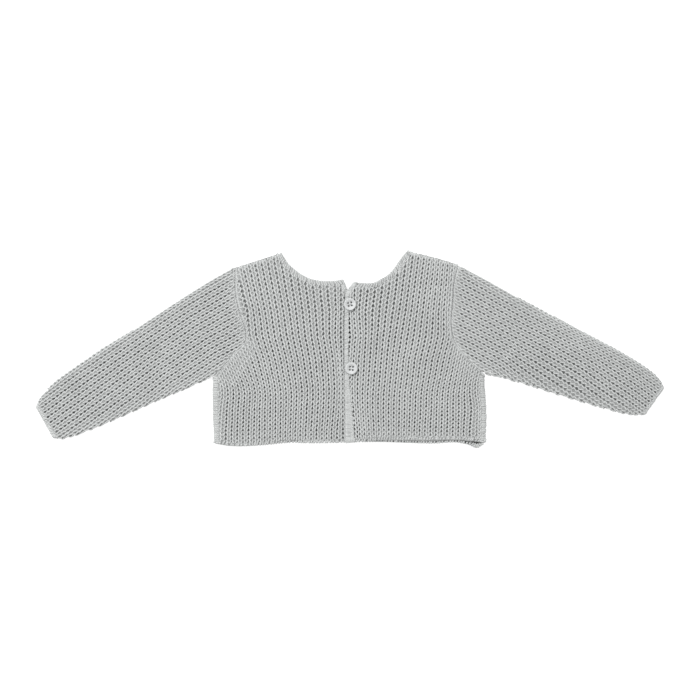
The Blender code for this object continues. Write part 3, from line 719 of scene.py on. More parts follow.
def front_shell(side, shape):
    """The front's inner cloth, with painted shade: its solid, thinned so that the yarn lies in its ribs."""
    for y in np.arange(-84 * MM, 92 * MM, SHELL_ROWS):
        geometry = shape.verts[:] + shape.edges[:] + shape.faces[:]
        bmesh.ops.bisect_plane(shape, geom=geometry, dist=0.001 * MM, plane_co=(0, y, 0), plane_no=(0, 1, 0))
    x, y, z = np.array([vert.co for vert in shape.verts]).T
    base = front_inside(side, x, y)
    up = z - base
    height = np.interp(up, [0, 0.9 * MM, WALL, WALL + RIB_RELIEF], [0, 0.5 * MM, GROOVE_FACE, CREST_FACE])
    number = (x - RIB_CENTRE) / RIB_PITCH
    for _ in range(12):
        number = number + 0.7 * (x - rib_x(side, number, y)) / RIB_PITCH
    rim = distances(x, y, front_outlines[side][0]).min(axis=1)
    x = x + rib_shift(side, number, y) * ease(rim, 0.0, SHIFT_FADES)
    armhole, hem = armholes[side == "right"], smooth_line(HEM[side], LINE_STEP)
    beside = {
        "armhole": armhole,
        "side": np.vstack([armhole[-1:], hem[:1] if side == "left" else hem[-1:]]),
        "hem": hem,
        "neck": smooth_line(NECKLINE[side], LINE_STEP),
        "gusset": smooth_line(GUSSET[side], LINE_STEP),
        "opening": smooth_line(OPENING_LIGHT[side], LINE_STEP),
    }
    # near is how far the cloth is raised toward the yarn and freed of its painted shade, on the upper chest
    # and beside the edges.
    near = CHEST_LIGHTNESS * ease(y, *CHEST_FROM)
    for edge, line in beside.items():
        light_to, dark_from, lightness = LIGHT_BESIDE[edge]
        away = distances(x, y, stretches_of(line)).min(axis=1)
        near = np.maximum(near, lightness * (1 - ease(away, light_to, dark_from)))
    height = height + np.where(up > 0.5 * WALL, near * (SEAM_FACE - height), 0.0)
    toward = 1 if side == "left" else -1
    x = fold_x(side) + toward * np.maximum(toward * (x - fold_x(side)), FOLD_PULL)
    for vert, place in zip(shape.verts, np.stack([x, y, base + height + crease(x, y)], axis=1)):
        vert.co = place
    mesh = bpy.data.meshes.new("front_" + side + "_cloth")
    shape.to_mesh(mesh)
    # Painted shade: the inner cloth is dark in the grooves and lighter on the crests and near the edges.
    light_cloth(mesh, np.maximum(RIDGE_LIGHT * ease(up, WALL + 0.1 * MM, WALL + RIB_RELIEF), near))
    mesh.shade_smooth()
    return mesh


front_outlines = {}
for side, wales, seed in (("left", (-27, 4), 11), ("right", (-2, 27), 12)):
    shape = merged_solid("front_" + side)
    front_outlines[side] = front_edges(side)
    add_piece(f"front_{side}_cloth", front_shell(side, shape), inner_yarn, "knit", "front_" + side)
    shape.free()
    place = functools.partial(front_place, side)
    runs = knitted_rows(range(-1, 47), wales, place, YARN_POINTS, YARN_RADIUS, 1.0, seed)
    add_rows(f"front_{side}_rows", runs, YARN_SIDES)

# ---------------------------------------------------------------- the sleeves
# Each sleeve is a tube knitted along the arm and laid flat, with an open cuff. It lies on the surface, tapers
# on its lower side only, and is sewn to the fronts and the back round the armhole.

SLEEVE_ROOT = {"left": (-109.3, 76.0), "right": (102.6, 77.0)}
SLEEVE_ANGLE = {"left": 34.0, "right": 29.0}
SLEEVE_ROW = 4.65 * MM
CUFF_TIGHTENS = (3.0 * MM, 5)
SLEEVE_RIB_LINES = {  # along, first groove, first rib's width, how much wider each next one is
    "left": [
        (-6.0, 7.2, 5.0, 0), (20, 5.0, 5.3, 0), (40, 3.8, 5.28, 0), (60, 2.8, 5.17, 0),
        (110, 2.9, 5.15, 0), (150, 3.5, 5.37, 0), (180, 4.0, 5.47, 0), (200, 4.7, 5.5, 0),
        (228.6, 6.0, 5.4, 0),
    ],
    "right": [
        (-8.0, -0.4, 5.2, 0), (50, 0.4, 5.03, 0), (80, 1.0, 4.88, 0.01), (110, 1.2, 4.3, 0.1),
        (150, 1.8, 4.01, 0.165), (180, 2.9, 4.78, 0.1), (200, 4.4, 4.72, 0.115), (226, 7.4, 4.7, 0.1),
    ],
}
CUFF_SLANT = {"left": 3.0, "right": -3.6}
CUFF_TURN = 30 * MM
CUFF_BIND = 2.8 * MM
CUFF_REACH = {"left": 1.3 * MM, "right": 0.4 * MM}  # of its bound-off end
SLEEVE_STATIONS = {  # along, upper fold, lower fold, hollow between the walls
    "left": [
        (-6.0, -3.0, 74.0, 0.3), (14.0, -3.6, 74.0, 0.35), (32.0, -4.7, 73.6, 0.5),
        (52.0, -5.2, 73.2, 0.8), (72.0, -5.6, 72.3, 1.1), (96.0, -6.2, 68.4, 1.4),
        (120.0, -7.2, 63.6, 1.6), (150.0, -8.9, 58.2, 1.6), (180.0, -8.7, 52.8, 1.5),
        (200.0, -7.9, 48.9, 1.4), (213.0, -5.4, 45.2, 1.3), (222.0, -2.4, 42.0, 1.2),
        (228.6, 1.2, 36.6, 1.0),
    ],
    "right": [
        (-8.0, -3.2, 78.0, 0.3), (12.0, -3.2, 78.0, 0.35), (30.0, -3.9, 77.6, 0.5),
        (52.0, -3.9, 77.0, 0.8), (72.0, -4.0, 74.4, 1.1), (88.0, -4.6, 69.6, 1.3),
        (112.0, -5.0, 64.2, 1.6), (140.0, -5.3, 58.8, 1.6), (165.0, -6.0, 53.2, 1.5),
        (190.0, -5.5, 47.6, 1.4), (205.0, -4.3, 43.8, 1.3), (216.0, -2.2, 40.6, 1.2),
        (226.0, 3.4, 35.4, 1.0),
    ],
}
SLEEVE_INSET = 1.3 * MM  # of the inner cloth under the yarn, which carries painted shade
SLEEVE_REACH = 2.9 * MM
SLEEVE_COLUMNS = 97
SLEEVE_RINGS = 44


def sleeve_end(side):
    return SLEEVE_STATIONS[side][-1][0] * MM


def sleeve_edges(side, along):
    """The upper fold, the lower fold and the whole height of a sleeve, at distances along it."""
    table = np.array(SLEEVE_STATIONS[side]) * MM
    upper, lower, hollow = (np.interp(along, table[:, 0], table[:, column]) for column in (1, 2, 3))
    return upper, lower, 2 * WALL + hollow


def sleeve_grooves(side, along):
    """The first groove, the first rib's width and how much wider each next rib is, at distances along."""
    table = np.array(SLEEVE_RIB_LINES[side]) * MM
    return (np.interp(along, table[:, 0], table[:, column]) for column in (1, 2, 3))


def sleeve_wale(side, along, across):
    """The rib's number at a place on a sleeve, whole in the grooves."""
    first, width, wider = sleeve_grooves(side, along)
    return 2 * (across - first) / (width + np.sqrt(width**2 + 4 * wider * (across - first)))


def sleeve_to_plan(side, along, across):
    """A sleeve's own plan turned to where it lies, with the slant of its cuff."""
    upper, lower, _ = sleeve_edges(side, along)
    turned = ease(along, sleeve_end(side) - CUFF_TURN, sleeve_end(side))
    reach = along + CUFF_SLANT[side] * MM * turned * (across - upper) / (lower - upper)
    angle = math.radians(SLEEVE_ANGLE[side])
    away = -1 if side == "left" else 1
    root = plan([SLEEVE_ROOT[side]])[0]
    x = root[0] + away * (reach * math.cos(angle) - across * math.sin(angle))
    return x, root[1] - reach * math.sin(angle) - across * math.cos(angle)


def armhole_reach(side, across):
    """How far along the sleeve its armhole seam lies, at distances across it."""
    line = armholes[side == "right"] - plan([SLEEVE_ROOT[side]])[0]
    angle = math.radians(SLEEVE_ANGLE[side])
    out = line[:, 0] * (-1 if side == "left" else 1)
    reach = out * math.cos(angle) - line[:, 1] * math.sin(angle)
    aside = -out * math.sin(angle) - line[:, 1] * math.cos(angle)
    slope = (reach[-1] - reach[-3]) / (aside[-1] - aside[-3])
    reach = np.append(reach, reach[-1] + slope * 20 * MM)
    aside = np.append(aside, aside[-1] + 20 * MM)
    return np.interp(across, aside, reach)


def sleeve_surface(side, along, across, face, inset):
    """Points of a sleeve's side, face 1 above and -1 below, with their outward directions."""
    upper, lower, full = sleeve_edges(side, along)
    half = full / 2 - inset
    arc = (SLEEVE_REACH + half) * np.pi / 4
    from_upper = across - upper - inset
    from_lower = lower - inset - across
    near = np.minimum(from_upper, from_lower) - SLEEVE_REACH + arc
    angle = np.clip(near / arc, 0, 1) * np.pi / 2
    pull = SLEEVE_REACH * (1 - np.cos(angle))
    turned = np.where(from_upper < from_lower, upper + inset + pull, lower - inset - pull)
    aside = np.where(from_upper < from_lower, -1.0, 1.0) * np.cos(angle)
    across = np.where(near < arc, turned, across)
    x, y = sleeve_to_plan(side, along, across)
    z = full / 2 + face * half * np.sin(angle) + (crease(x, y) if face > 0 else 0.0)
    way = np.subtract(sleeve_to_plan(side, along, across + MM), (x, y)).T / MM
    outward = np.concatenate([way * aside[:, None], face * np.sin(angle)[:, None]], axis=1)
    return np.stack([x, y, z], axis=1), outward, near > 0


def spread_across(side, along, part, inset):
    """Places across a sleeve, at shares of the way from the middle of its upper fold to that of the lower."""
    upper, lower, full = sleeve_edges(side, along)
    spare = (SLEEVE_REACH + full / 2 - inset) * np.pi / 4 - SLEEVE_REACH
    return upper + inset - spare + part * (lower - upper - 2 * inset + 2 * spare)


def sleeve_place(side, face, wale, row):
    """A sleeve's surface at a rib and a row, which count from the upper fold and the cuff."""
    along = sleeve_end(side) - CUFF_BIND + 1.2 * MM - rows_take_up(row, SLEEVE_ROW, *CUFF_TIGHTENS)
    first, width, wider = sleeve_grooves(side, along)
    across = first + wale * width + wale**2 * wider
    points, outward, there = sleeve_surface(side, along, across, face, 0.0)
    if face < 0:
        points[:, 2] -= UNDER_LIFT * np.minimum(outward[:, 2], 0.0)
    _, lower, _ = sleeve_edges(side, along)
    seam = armhole_reach(side, across) + 1.2 * MM - 2.0 * MM * ease(across, lower - 6 * MM, lower)
    return points, outward, there & (along > seam) & (along < sleeve_end(side) - 1.5 * MM)


def sleeve_shell(side):
    """The sleeve's inner cloth, with painted shade: an open tube with a wall, ribbed on its upper side."""
    share = np.linspace(0, 1, SLEEVE_COLUMNS)
    grids, lightness = [], []
    for inset, ribbed in ((SLEEVE_INSET, True), (WALL, False)):
        for step in np.linspace(0, 1, SLEEVE_RINGS):
            for face in (1, -1):
                part = share if face > 0 else share[::-1][1:-1]
                along = np.full(len(part), 20 * MM)
                for _ in range(6):
                    across = spread_across(side, along, part, inset)
                    upper, lower, _ = sleeve_edges(side, along)
                    start = armhole_reach(side, np.clip(across, upper, lower)) + SEAM_GAP
                    along = start + step * (sleeve_end(side) - 0.8 * MM - start)
                points, outward, _ = sleeve_surface(side, along, across, face, inset)
                near = SEAM_LIGHTNESS * (1 - ease(along - start, *SLEEVE_QUIET))
                from_fold = np.minimum(across - upper, lower - across)
                near = np.maximum(near, FOLD_LIGHTNESS * (1 - ease(from_fold, *FOLD_QUIET)))
                crest = np.sin(np.pi * sleeve_wale(side, along, across)) ** 2
                crest = crest * ease(from_fold, -1 * MM, 4 * MM)
                if ribbed and face > 0:
                    rise = crest * (CREST_FACE - GROOVE_FACE - 0.3 * MM)
                    rise = rise + near * (SEAM_FACE - GROOVE_FACE - 0.2 * MM - rise)
                    points = points + outward * rise[:, None]
                grids.append(points)
                # Painted shade: the inner cloth is dark in the grooves and lighter on the upper crests, by
                # the seam and near the folds.
                lightness.append(np.maximum(RIDGE_LIGHT * crest if face > 0 else 0.0, near))
    around = 2 * SLEEVE_COLUMNS - 2
    wall = ring_faces(SLEEVE_RINGS, around)
    inner = SLEEVE_RINGS * around
    faces = [wall, wall[:, ::-1] + inner]
    ring, after = np.arange(around), (np.arange(around) + 1) % around
    faces.append(np.stack([ring, ring + inner, after + inner, after], axis=1))
    last = (SLEEVE_RINGS - 1) * around
    faces.append(np.stack([ring + last, after + last, after + last + inner, ring + last + inner], axis=1))
    faces = np.concatenate(faces).tolist()
    return cloth_mesh(f"sleeve_{side}_cloth", np.concatenate(grids), faces, np.concatenate(lightness))


for side, seed in (("left", 21), ("right", 22)):
    add_piece(f"sleeve_{side}_cloth", sleeve_shell(side), inner_yarn, "knit", "sleeve_" + side)
    place = functools.partial(sleeve_place, side, 1)
    runs = knitted_rows(range(-1, 55), (-4, 18), place, YARN_POINTS, YARN_RADIUS, 1.0, seed)
    add_rows(f"sleeve_{side}_rows", runs, YARN_SIDES)
    place = functools.partial(sleeve_place, side, -1)
    runs = knitted_rows(
        range(-1, 55), (-4, 18), place, UNDER_POINTS, UNDER_YARN_RADIUS, UNDER_RELIEF, seed + 10
    )
    add_rows(f"sleeve_{side}_under_rows", runs, UNDER_SIDES)

# ---------------------------------------------------------------- the seams and the bound-off edges
# The armholes and shoulders are sewn edge to edge with short slanting strands, the sides fold round in a
# plain strip, and the hem and the cuffs are bound off: the ribs' strands turn over the edge side by side.

STRAND_PATH = (  # share across a band from its outer edge, share of its height
    (0.0, 0.1), (0.02, 0.5), (0.12, 0.84), (0.36, 1.0), (0.68, 1.0), (0.9, 0.84), (1.03, 0.4),
)
SEAM_PATH = ((0.0, 0.62), (0.05, 0.8), (0.2, 0.95), (0.45, 1.0), (0.7, 1.0), (0.9, 0.84), (1.03, 0.4))
SEAM_WIDTH = 1.9 * MM
BACK_HEM_PATH = (
    (0.0, 0.2), (0.02, 1.0), (0.08, 2.1), (0.2, 2.5), (0.32, 1.9), (0.5, 0.8), (0.9, 0.6), (1.03, 0.4),
)
HEM_PATH = ((0.0, 0.25), (0.04, 0.6), (0.14, 0.86), (0.36, 1.0), (0.68, 1.0), (0.9, 0.84), (1.03, 0.4))
SEAM_STRANDS = {"left": 58, "right": 61}
CUFF_STRANDS = 26
SIDE_REACH = {  # share of the way up from the hem, millimetres further out
    "left": [(0.0, 0.0), (0.35, 0.8), (0.7, 1.4), (0.95, 0.9)],
    "right": [(0.0, 0.3), (0.2, 0.8), (0.4, 1.2), (0.6, 0.7), (0.8, -0.3), (1.0, -1.2)],
}
ARMHOLE_PITCH = 1.8 * MM
SHOULDER_PITCH = 2.6 * MM
SIDE_PITCH = 1.7 * MM
SHOULDER_BULGE = 0.55 * MM
BACK_HEM_PAST = 0.5 * MM  # how far its strands reach past the back's hem
BACK_EDGE_FOOT = 0.25 * MM
edge_yarn = yarn_material("edge_yarn", YARN_GREY, 0.8, 0.9)


def crossing_strands(outer, inner, foot, top, pitch, slant, seed, path=STRAND_PATH, fill=0.48, bulge=0.0):
    """Runs of yarn side by side across a band, from its outer line to its inner one.

    foot and top give the band's heights at plan points. A strand slants by slant pitches along the band, its
    radius is fill of the pitch, and every other one stands out by bulge."""
    rng = np.random.default_rng(seed)
    run = run_along(outer)
    share, rise = np.array(path).T
    count = max(2, round(run[-1] / pitch))
    runs = []
    for number in range(count):
        lean, lift, plump = rng.normal(size=3)
        radius = fill * pitch * (1 + 0.08 * plump)
        at = np.clip((number + 0.5 + 0.14 * lean + slant * (share - 0.5)) / count, 0, 1) * run[-1]
        start = np.stack([np.interp(at, run, column) for column in outer.T], axis=1)
        stop = np.stack([np.interp(at, run, column) for column in inner.T], axis=1)
        width = np.linalg.norm(stop - start, axis=1)
        first = 0.8 * radius - bulge * (number % 2)
        part = (first + share * (width - first)) / width
        place = start + (stop - start) * part[:, None]
        low, high = foot(*place.T), top(*place.T)
        z = low + 0.9 * radius + (high - low - 1.9 * radius) * rise + 0.09 * MM * lift * rise
        beside = np.append(outer[-1] - outer[0], 0.0)
        runs.append((np.column_stack([place, z]), np.tile(beside, (len(z), 1)), np.full(len(z), radius)))
    return runs


def add_strands(name, slot, runs):
    add_piece(name, yarn_tubes(name, runs, YARN_SIDES), edge_yarn, slot)


def even(height):
    return lambda x, y: np.full_like(x, height)


def raised(side, lift):
    return lambda x, y: front_top(side, x, y) + lift


def armhole_strands(side, face, seed):
    """The sleeve's side of the armhole seam, which follows the sleeve round its folds."""
    rng = np.random.default_rng(seed)
    share, rise = np.array(SEAM_PATH).T
    count = round(SEAM_STRANDS[side] * (1 if face > 0 else 0.7))
    radius = 0.75 * MM
    runs = []
    for number in range(count):
        lean, lift, _ = rng.normal(size=3)
        part = np.clip((number + 0.5 + 0.25 * lean + 0.8 * (share - 0.5)) / count, 0, 1)
        along = np.full(len(part), 20 * MM)
        for _ in range(6):
            across = spread_across(side, along, part, 0.0)
            upper, lower, _ = sleeve_edges(side, along)
            seam = armhole_reach(side, np.clip(across, upper, lower))
            along = seam + SEAM_GAP / 2 + 0.8 * radius + share * (SEAM_WIDTH - 0.8 * radius)
        depth = 0.9 * radius + 1.4 * MM * (1 - rise) + 0.12 * MM * lift
        points, outward, _ = sleeve_surface(side, along, across, face, 0.0)
        points = points - outward * depth[:, None]
        points[:, 2] = np.maximum(points[:, 2], 1.1 * radius)
        beside = np.append(armholes[side == "right"][-1] - armholes[side == "right"][0], 0.0)
        runs.append((points, np.tile(beside, (len(points), 1)), np.full(len(points), radius)))
    return runs


def cuff_strands(side, seed):
    """The bound-off end of a sleeve, all round."""
    rng = np.random.default_rng(seed)
    share, rise = np.array(STRAND_PATH).T
    radius = 1.05 * MM
    away = math.radians(SLEEVE_ANGLE[side])
    beside = [-math.sin(away) * (-1 if side == "left" else 1), -math.cos(away), 0.0]
    runs = []
    for face in (1, -1):
        for number in range(CUFF_STRANDS):
            lean, lift, plump = rng.normal(size=3)
            spread = number / (CUFF_STRANDS - 1) if face > 0 else (number + 0.5) / CUFF_STRANDS
            part = np.full(len(share), np.clip(spread + 0.1 * lean / CUFF_STRANDS, 0, 1))
            reach = CUFF_REACH[side] + 0.15 * MM * lift - 0.8 * radius
            along = sleeve_end(side) + reach - share * (CUFF_BIND + reach)
            across = spread_across(side, along, part, 0.0)
            points, outward, _ = sleeve_surface(side, along, across, face, 0.0)
            points = points - outward * (0.85 * radius + 1.2 * MM * (1 - rise))[:, None]
            points[:, 2] = np.maximum(points[:, 2], 1.1 * radius)
            thick = np.full(len(points), radius * (1 + 0.05 * plump))
            runs.append((points, np.tile(beside, (len(points), 1)), thick))
    return runs


def side_strands(side, seed):
    """The plain strip round a side's fold, from the front's upper side to under the back."""
    rng = np.random.default_rng(seed)
    toward = 1 if side == "left" else -1
    low, high = armholes[side == "right"][-1], smooth_line(HEM[side], LINE_STEP)[0 if side == "left" else -1]
    radius = 1.0 * MM
    turn = np.linspace(-1, 1, 13)
    around = np.clip(turn / 0.6, -1, 1) * np.pi / 2
    past_fold = np.maximum(np.abs(turn) - 0.6, 0) / 0.4
    aside = 2.4 * MM * (1 - np.cos(around)) + (SIDE_STRIP - 2.0 * MM) * past_fold
    runs = []
    for place in np.arange(high[1] + 0.8 * MM, low[1] - 0.5 * MM, SIDE_PITCH):
        lean, lift, plump = rng.normal(size=3)
        share = (place - high[1]) / (low[1] - high[1])
        edge = high[0] + share * (low[0] - high[0])
        spread = np.interp(share, *np.array(SIDE_REACH[side]).T) * MM + 0.12 * MM * lift
        x = edge + toward * (aside + radius - spread)
        y = place + 0.12 * MM * lean + 0.6 * MM * turn
        crown = front_top(side, x, y)
        middle = crown / 2
        z = middle + (middle - radius) * np.sin(around)
        tuck = 1.0 * MM * np.maximum(np.abs(turn) - 0.85, 0) / 0.15 * np.sign(turn)
        points = np.column_stack([x, y, np.where(turn > 0, z - tuck, np.maximum(z - tuck, 1.1 * radius))])
        runs.append((points, np.tile([0.0, 1.0, 0.0], (13, 1)), np.full(13, radius * (1 + 0.05 * plump))))
    return runs


for side, seed in (("left", 31), ("right", 41)):
    inward = 1 if side == "left" else -1
    seam = armholes[side == "right"]
    outer, inner = (offset_line(seam, -inward * distance) for distance in (SEAM_GAP / 2, SEAM_WIDTH))
    inside = functools.partial(front_inside, side)
    top = raised(side, 0.0)
    runs = crossing_strands(outer, inner, inside, top, ARMHOLE_PITCH, 0.9, seed, SEAM_PATH, 0.46)
    add_strands(f"armhole_{side}_front", "knit", runs)
    runs = armhole_strands(side, 1, seed + 1) + armhole_strands(side, -1, seed + 2)
    add_strands(f"armhole_{side}_sleeve", "knit", runs)
    shoulder = shoulders[side == "right"]
    inner = offset_line(shoulder, -inward * SHOULDER_PITCH)
    top = raised(side, 0.2 * MM)
    foot = even(0.4 * MM)
    runs = crossing_strands(shoulder, inner, foot, top, SHOULDER_PITCH, 0.3, seed + 3, bulge=SHOULDER_BULGE)
    add_strands(f"shoulder_{side}", "knit", runs)
    hem = smooth_line(HEM[side], LINE_STEP)
    inner = offset_line(hem, -HEM_BIND)
    top = raised(side, 0.25 * MM)
    runs = crossing_strands(hem, inner, inside, top, RIB_PITCH / 2, 0.2, seed + 4, HEM_PATH, 0.43)
    add_strands(f"hem_{side}", "knit", runs)
    add_strands(f"side_{side}", "knit", side_strands(side, seed + 5))
    add_strands(f"cuff_{side}", "knit", cuff_strands(side, seed + 6))

hem = smooth_line(HEM["back"], LINE_STEP)
inner = offset_line(hem, -HEM_BIND)
hem = offset_line(hem, BACK_HEM_PAST)
foot, top = even(BACK_EDGE_FOOT), even(WALL + 0.9 * MM)
runs = crossing_strands(hem, inner, foot, top, RIB_PITCH / 2, 0.2, 38, BACK_HEM_PATH, 0.45)
add_strands("hem_back", "knit", runs)

# ---------------------------------------------------------------- the neck bands and the front edges
# A narrow band is picked up round the neck and bound off. Plain selvedges edge the opening, and the right
# one, which shows, widens to the hem.

BAND_SHAPE = (  # share across, share of the height
    (0.08, 0.04), (0.08, 0.5), (0.18, 0.78), (0.36, 0.9), (0.62, 0.9), (0.86, 0.8), (1.0, 0.5),
    (1.0, 0.04),
)
# A band's core is painted a little darker than the yarn, as shade between its strands.
BAND_LIGHTNESS = 0.75
NECK_PITCH = 2.2 * MM
SELVEDGE_PITCH = 1.3 * MM  # close, so that the selvedge is plain
SELVEDGE_TOP = 62.3 * MM


def band_core(name, outer, inner, foot, top):
    """The closed strip of cloth under a band's strands, its colour a little darkened as painted shade."""
    rings = []
    for share, rise in BAND_SHAPE:
        place = outer + (inner - outer) * share
        low, high = foot(*place.T), top(*place.T)
        rings.append(np.column_stack([place, low + (high - low) * rise]))
    grid = np.array(rings).transpose(1, 0, 2)
    count, around = grid.shape[:2]
    faces = ring_faces(count, around).tolist()
    faces.append(list(range(around)))
    faces.append([(count - 1) * around + k for k in reversed(range(around))])
    return cloth_mesh(name, grid.reshape(-1, 3), faces, np.full(count * around, BAND_LIGHTNESS))


def add_band(name, node, outer, inner, foot, top, pitch, slant, seed, fill):
    """A band of the edging: its core, which stands for the node, and the strands across it."""
    add_piece(name, band_core(name, outer, inner, foot, top), inner_yarn, "edging", node)
    runs = crossing_strands(outer, inner, foot, top, pitch, slant, seed, STRAND_PATH, fill)
    add_strands(name + "_strands", "edging", runs)


line = smooth_line(BACK_NECKLINE, LINE_STEP)
inner = offset_line(line, NECK_BAND_WIDTH)
foot, top = even(BACK_EDGE_FOOT), even(WALL)
add_band("neck_back", "neck_band_back", line, inner, foot, top, NECK_PITCH, 0.8, 51, 0.44)
for side, seed in (("left", 52), ("right", 54)):
    inward = 1 if side == "left" else -1
    inside = functools.partial(front_inside, side)
    line = smooth_line(NECKLINE[side], LINE_STEP)
    inner = offset_line(line, inward * NECK_BAND_WIDTH)
    top = raised(side, 0.2 * MM)
    add_band(f"neck_{side}", "neck_band_" + side, line, inner, inside, top, NECK_PITCH, 0.9, seed, 0.46)
    line = smooth_line(OPENING_EDGE[side], LINE_STEP)
    if side == "left":
        line = line[line[:, 1] < SELVEDGE_TOP]
    inner = offset_line(line, inward * selvedge_widths(line))
    top = raised(side, 0.1 * MM)
    slant = 0.8 * inward
    node = "front_edge_" + side
    add_band(f"edge_{side}", node, line, inner, inside, top, SELVEDGE_PITCH, slant, seed + 1, 0.74)

# ---------------------------------------------------------------- the buttons
# Two plain four-hole buttons of pale grey plastic, cast with a low rim, sewn to the left front.

BUTTON_RIM = 1.0 * MM
BUTTON_DISH = 0.25 * MM
BUTTON_ROUND = 0.5 * MM
BUTTON_HOLE = 0.8 * MM
BUTTON_HOLES_OUT = 2.05 * MM
BUTTON_SHARP = math.radians(50)  # corners over this are rounded
BUTTON_TURN = {"button_upper": 12, "button_lower": -4}

button_plastic = bpy.data.materials.new("button_plastic")
button_plastic.use_nodes = True
nodes, links = button_plastic.node_tree.nodes, button_plastic.node_tree.links
plastic = nodes["Principled BSDF"]
plastic.inputs["Roughness"].default_value = 0.6
plastic.inputs["Specular IOR Level"].default_value = 0.4
where = nodes.new("ShaderNodeTexCoord")
cloudy = nodes.new("ShaderNodeTexNoise")
cloudy.inputs["Scale"].default_value = 260
cloudy.inputs["Detail"].default_value = 3
pearl = nodes.new("ShaderNodeValToRGB")
pearl.color_ramp.elements[0].position = 0.3
pearl.color_ramp.elements[0].color = (0.41, 0.42, 0.42, 1)
pearl.color_ramp.elements[1].position = 0.7
pearl.color_ramp.elements[1].color = (0.50, 0.51, 0.51, 1)
links.new(where.outputs["Object"], cloudy.inputs["Vector"])
links.new(cloudy.outputs["Fac"], pearl.inputs["Fac"])
links.new(pearl.outputs["Color"], plastic.inputs["Base Color"])


def apply_modifier(piece, kind, **settings):
    bpy.context.view_layer.objects.active = piece
    modifier = piece.modifiers.new("made", kind)
    for name, value in settings.items():
        setattr(modifier, name, value)
    bpy.ops.object.modifier_apply(modifier=modifier.name)


for node, turn in BUTTON_TURN.items():
    low, high = (np.array(corner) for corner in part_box(node))
    middle, (width, _, height) = (low + high) / 2, high - low
    bpy.ops.object.select_all(action="DESELECT")
    bpy.ops.mesh.primitive_cylinder_add(vertices=64, radius=width / 2, depth=height, location=middle)
    button = bpy.context.object
    button.name = node + "_cast"
    button.data.name = button.name
    bpy.ops.object.mode_set(mode="EDIT")
    bpy.ops.mesh.select_mode(type="FACE")
    bpy.ops.mesh.select_all(action="DESELECT")
    bpy.ops.object.mode_set(mode="OBJECT")
    for face in button.data.polygons:
        face.select = face.normal.z > 0.9
    bpy.ops.object.mode_set(mode="EDIT")
    bpy.ops.mesh.inset(thickness=BUTTON_RIM)
    bpy.ops.mesh.inset(thickness=BUTTON_DISH)
    bpy.ops.transform.translate(value=(0, 0, -BUTTON_DISH))
    bpy.ops.object.mode_set(mode="OBJECT")
    rounding = {"width": BUTTON_ROUND, "segments": 4, "limit_method": "ANGLE", "angle_limit": BUTTON_SHARP}
    apply_modifier(button, "BEVEL", **rounding)
    for quarter in range(4):
        angle = math.radians(turn + 45 + 90 * quarter)
        hole = middle + BUTTON_HOLES_OUT * np.array([math.cos(angle), math.sin(angle), 0])
        bpy.ops.object.select_all(action="DESELECT")
        bpy.ops.mesh.primitive_cylinder_add(vertices=24, radius=BUTTON_HOLE, depth=3 * height, location=hole)
        drill = bpy.context.object
        apply_modifier(button, "BOOLEAN", operation="DIFFERENCE", object=drill)
        bpy.data.objects.remove(drill)
    bpy.ops.object.select_all(action="DESELECT")
    button.select_set(True)
    bpy.ops.object.transform_apply(location=True, rotation=True, scale=True)
    button.data.shade_smooth()
    button.data.materials.append(button_plastic)
    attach(button, "root")
    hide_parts(node)

# ---------------------------------------------------------------- the cloth's cut
# Each panel is knitted to shape and lies flat. Its size is that of its outline, and a sleeve's is taken all
# the way round it. The rows, seams and bands are worked on the panel, and the table lists them with it.

worked = ["back_rows", "hem_back", "neck_back", "neck_back_strands"]
SHEETS = {  # width, length and area of the flat cloth, what it lies on, what is worked on it
    "back_cloth": (0.259, 0.188, 0.0367, "floor", worked),
}
for side, front_size, sleeve_size in (
    ("left", (0.136, 0.183, 0.0201), (0.157, 0.235, 0.0283)),
    ("right", (0.134, 0.183, 0.0193), (0.163, 0.234, 0.0274)),
):
    worked = ["front_{}_rows", "armhole_{}_front", "shoulder_{}", "hem_{}", "side_{}"]
    worked += ["neck_{}", "neck_{}_strands", "edge_{}", "edge_{}_strands"]
    SHEETS[f"front_{side}_cloth"] = (*front_size, "back_cloth", [name.format(side) for name in worked])
    worked = ["sleeve_{}_rows", "sleeve_{}_under_rows", "armhole_{}_sleeve", "cuff_{}"]
    SHEETS[f"sleeve_{side}_cloth"] = (*sleeve_size, "floor", [name.format(side) for name in worked])

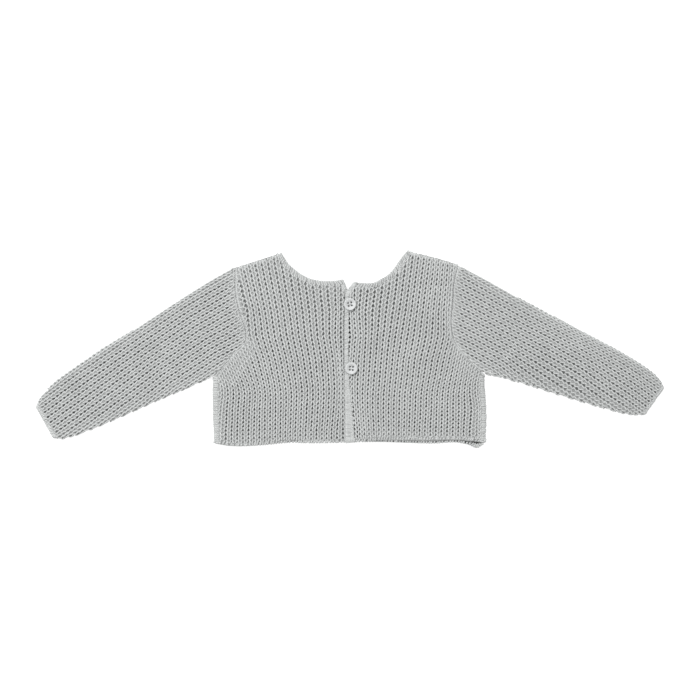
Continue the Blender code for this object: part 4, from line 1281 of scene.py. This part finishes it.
# ---------------------------------------------------------------- the surface, the light and the camera
# A plain white surface, lit from within so that it shows no shade, under soft light, seen from straight above
# as the photo is.

bpy.ops.object.select_all(action="DESELECT")
bpy.ops.mesh.primitive_plane_add(size=6, location=(0, 0, 0))
floor = bpy.context.object
floor.name = "floor"
floor.data.name = "floor"
floor_paint = bpy.data.materials.new("floor_paint")
floor_paint.use_nodes = True
white = floor_paint.node_tree.nodes["Principled BSDF"]
white.inputs["Base Color"].default_value = (0.4, 0.4, 0.4, 1)
white.inputs["Roughness"].default_value = 1.0
white.inputs["Specular IOR Level"].default_value = 0.0
white.inputs["Emission Color"].default_value = (1, 1, 1, 1)
white.inputs["Emission Strength"].default_value = 0.75
floor.data.materials.append(floor_paint)
floor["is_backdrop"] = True

for cloth, (width, length, area, under, worked) in SHEETS.items():
    worked = [bpy.data.objects[name] for name in worked]
    cloth = bpy.data.objects[cloth]

world = bpy.data.worlds.new("studio")
world.use_nodes = True
world.node_tree.nodes["Background"].inputs["Color"].default_value = (1, 1, 1, 1)
world.node_tree.nodes["Background"].inputs["Strength"].default_value = 0.76
bpy.context.scene.world = world

for name, place, size, power in (
    ("lamp_main", (-0.7, 0.9, 1.4), 0.7, 31),
    ("lamp_fill", (0.9, -0.3, 1.4), 1.2, 5),
):
    lamp = bpy.data.lights.new(name, "AREA")
    lamp.size = size
    lamp.energy = power
    light = bpy.data.objects.new(name, lamp)
    light.location = place
    light.rotation_euler = Vector(place).to_track_quat("Z", "Y").to_euler()
    bpy.context.scene.collection.objects.link(light)

VIEW_WIDTH = 665 * MM
LENS = 85
SENSOR = 36
view_camera = bpy.data.cameras.new("camera")
view_camera.lens = LENS
view_camera.sensor_width = SENSOR
camera = bpy.data.objects.new("camera", view_camera)
camera.location = (-MIDDLE[0] * MM, -MIDDLE[1] * MM, 5 * MM + VIEW_WIDTH * LENS / SENSOR)
bpy.context.scene.collection.objects.link(camera)
bpy.context.scene.camera = camera
bpy.context.scene.view_settings.view_transform = "Standard"

low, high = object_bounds()
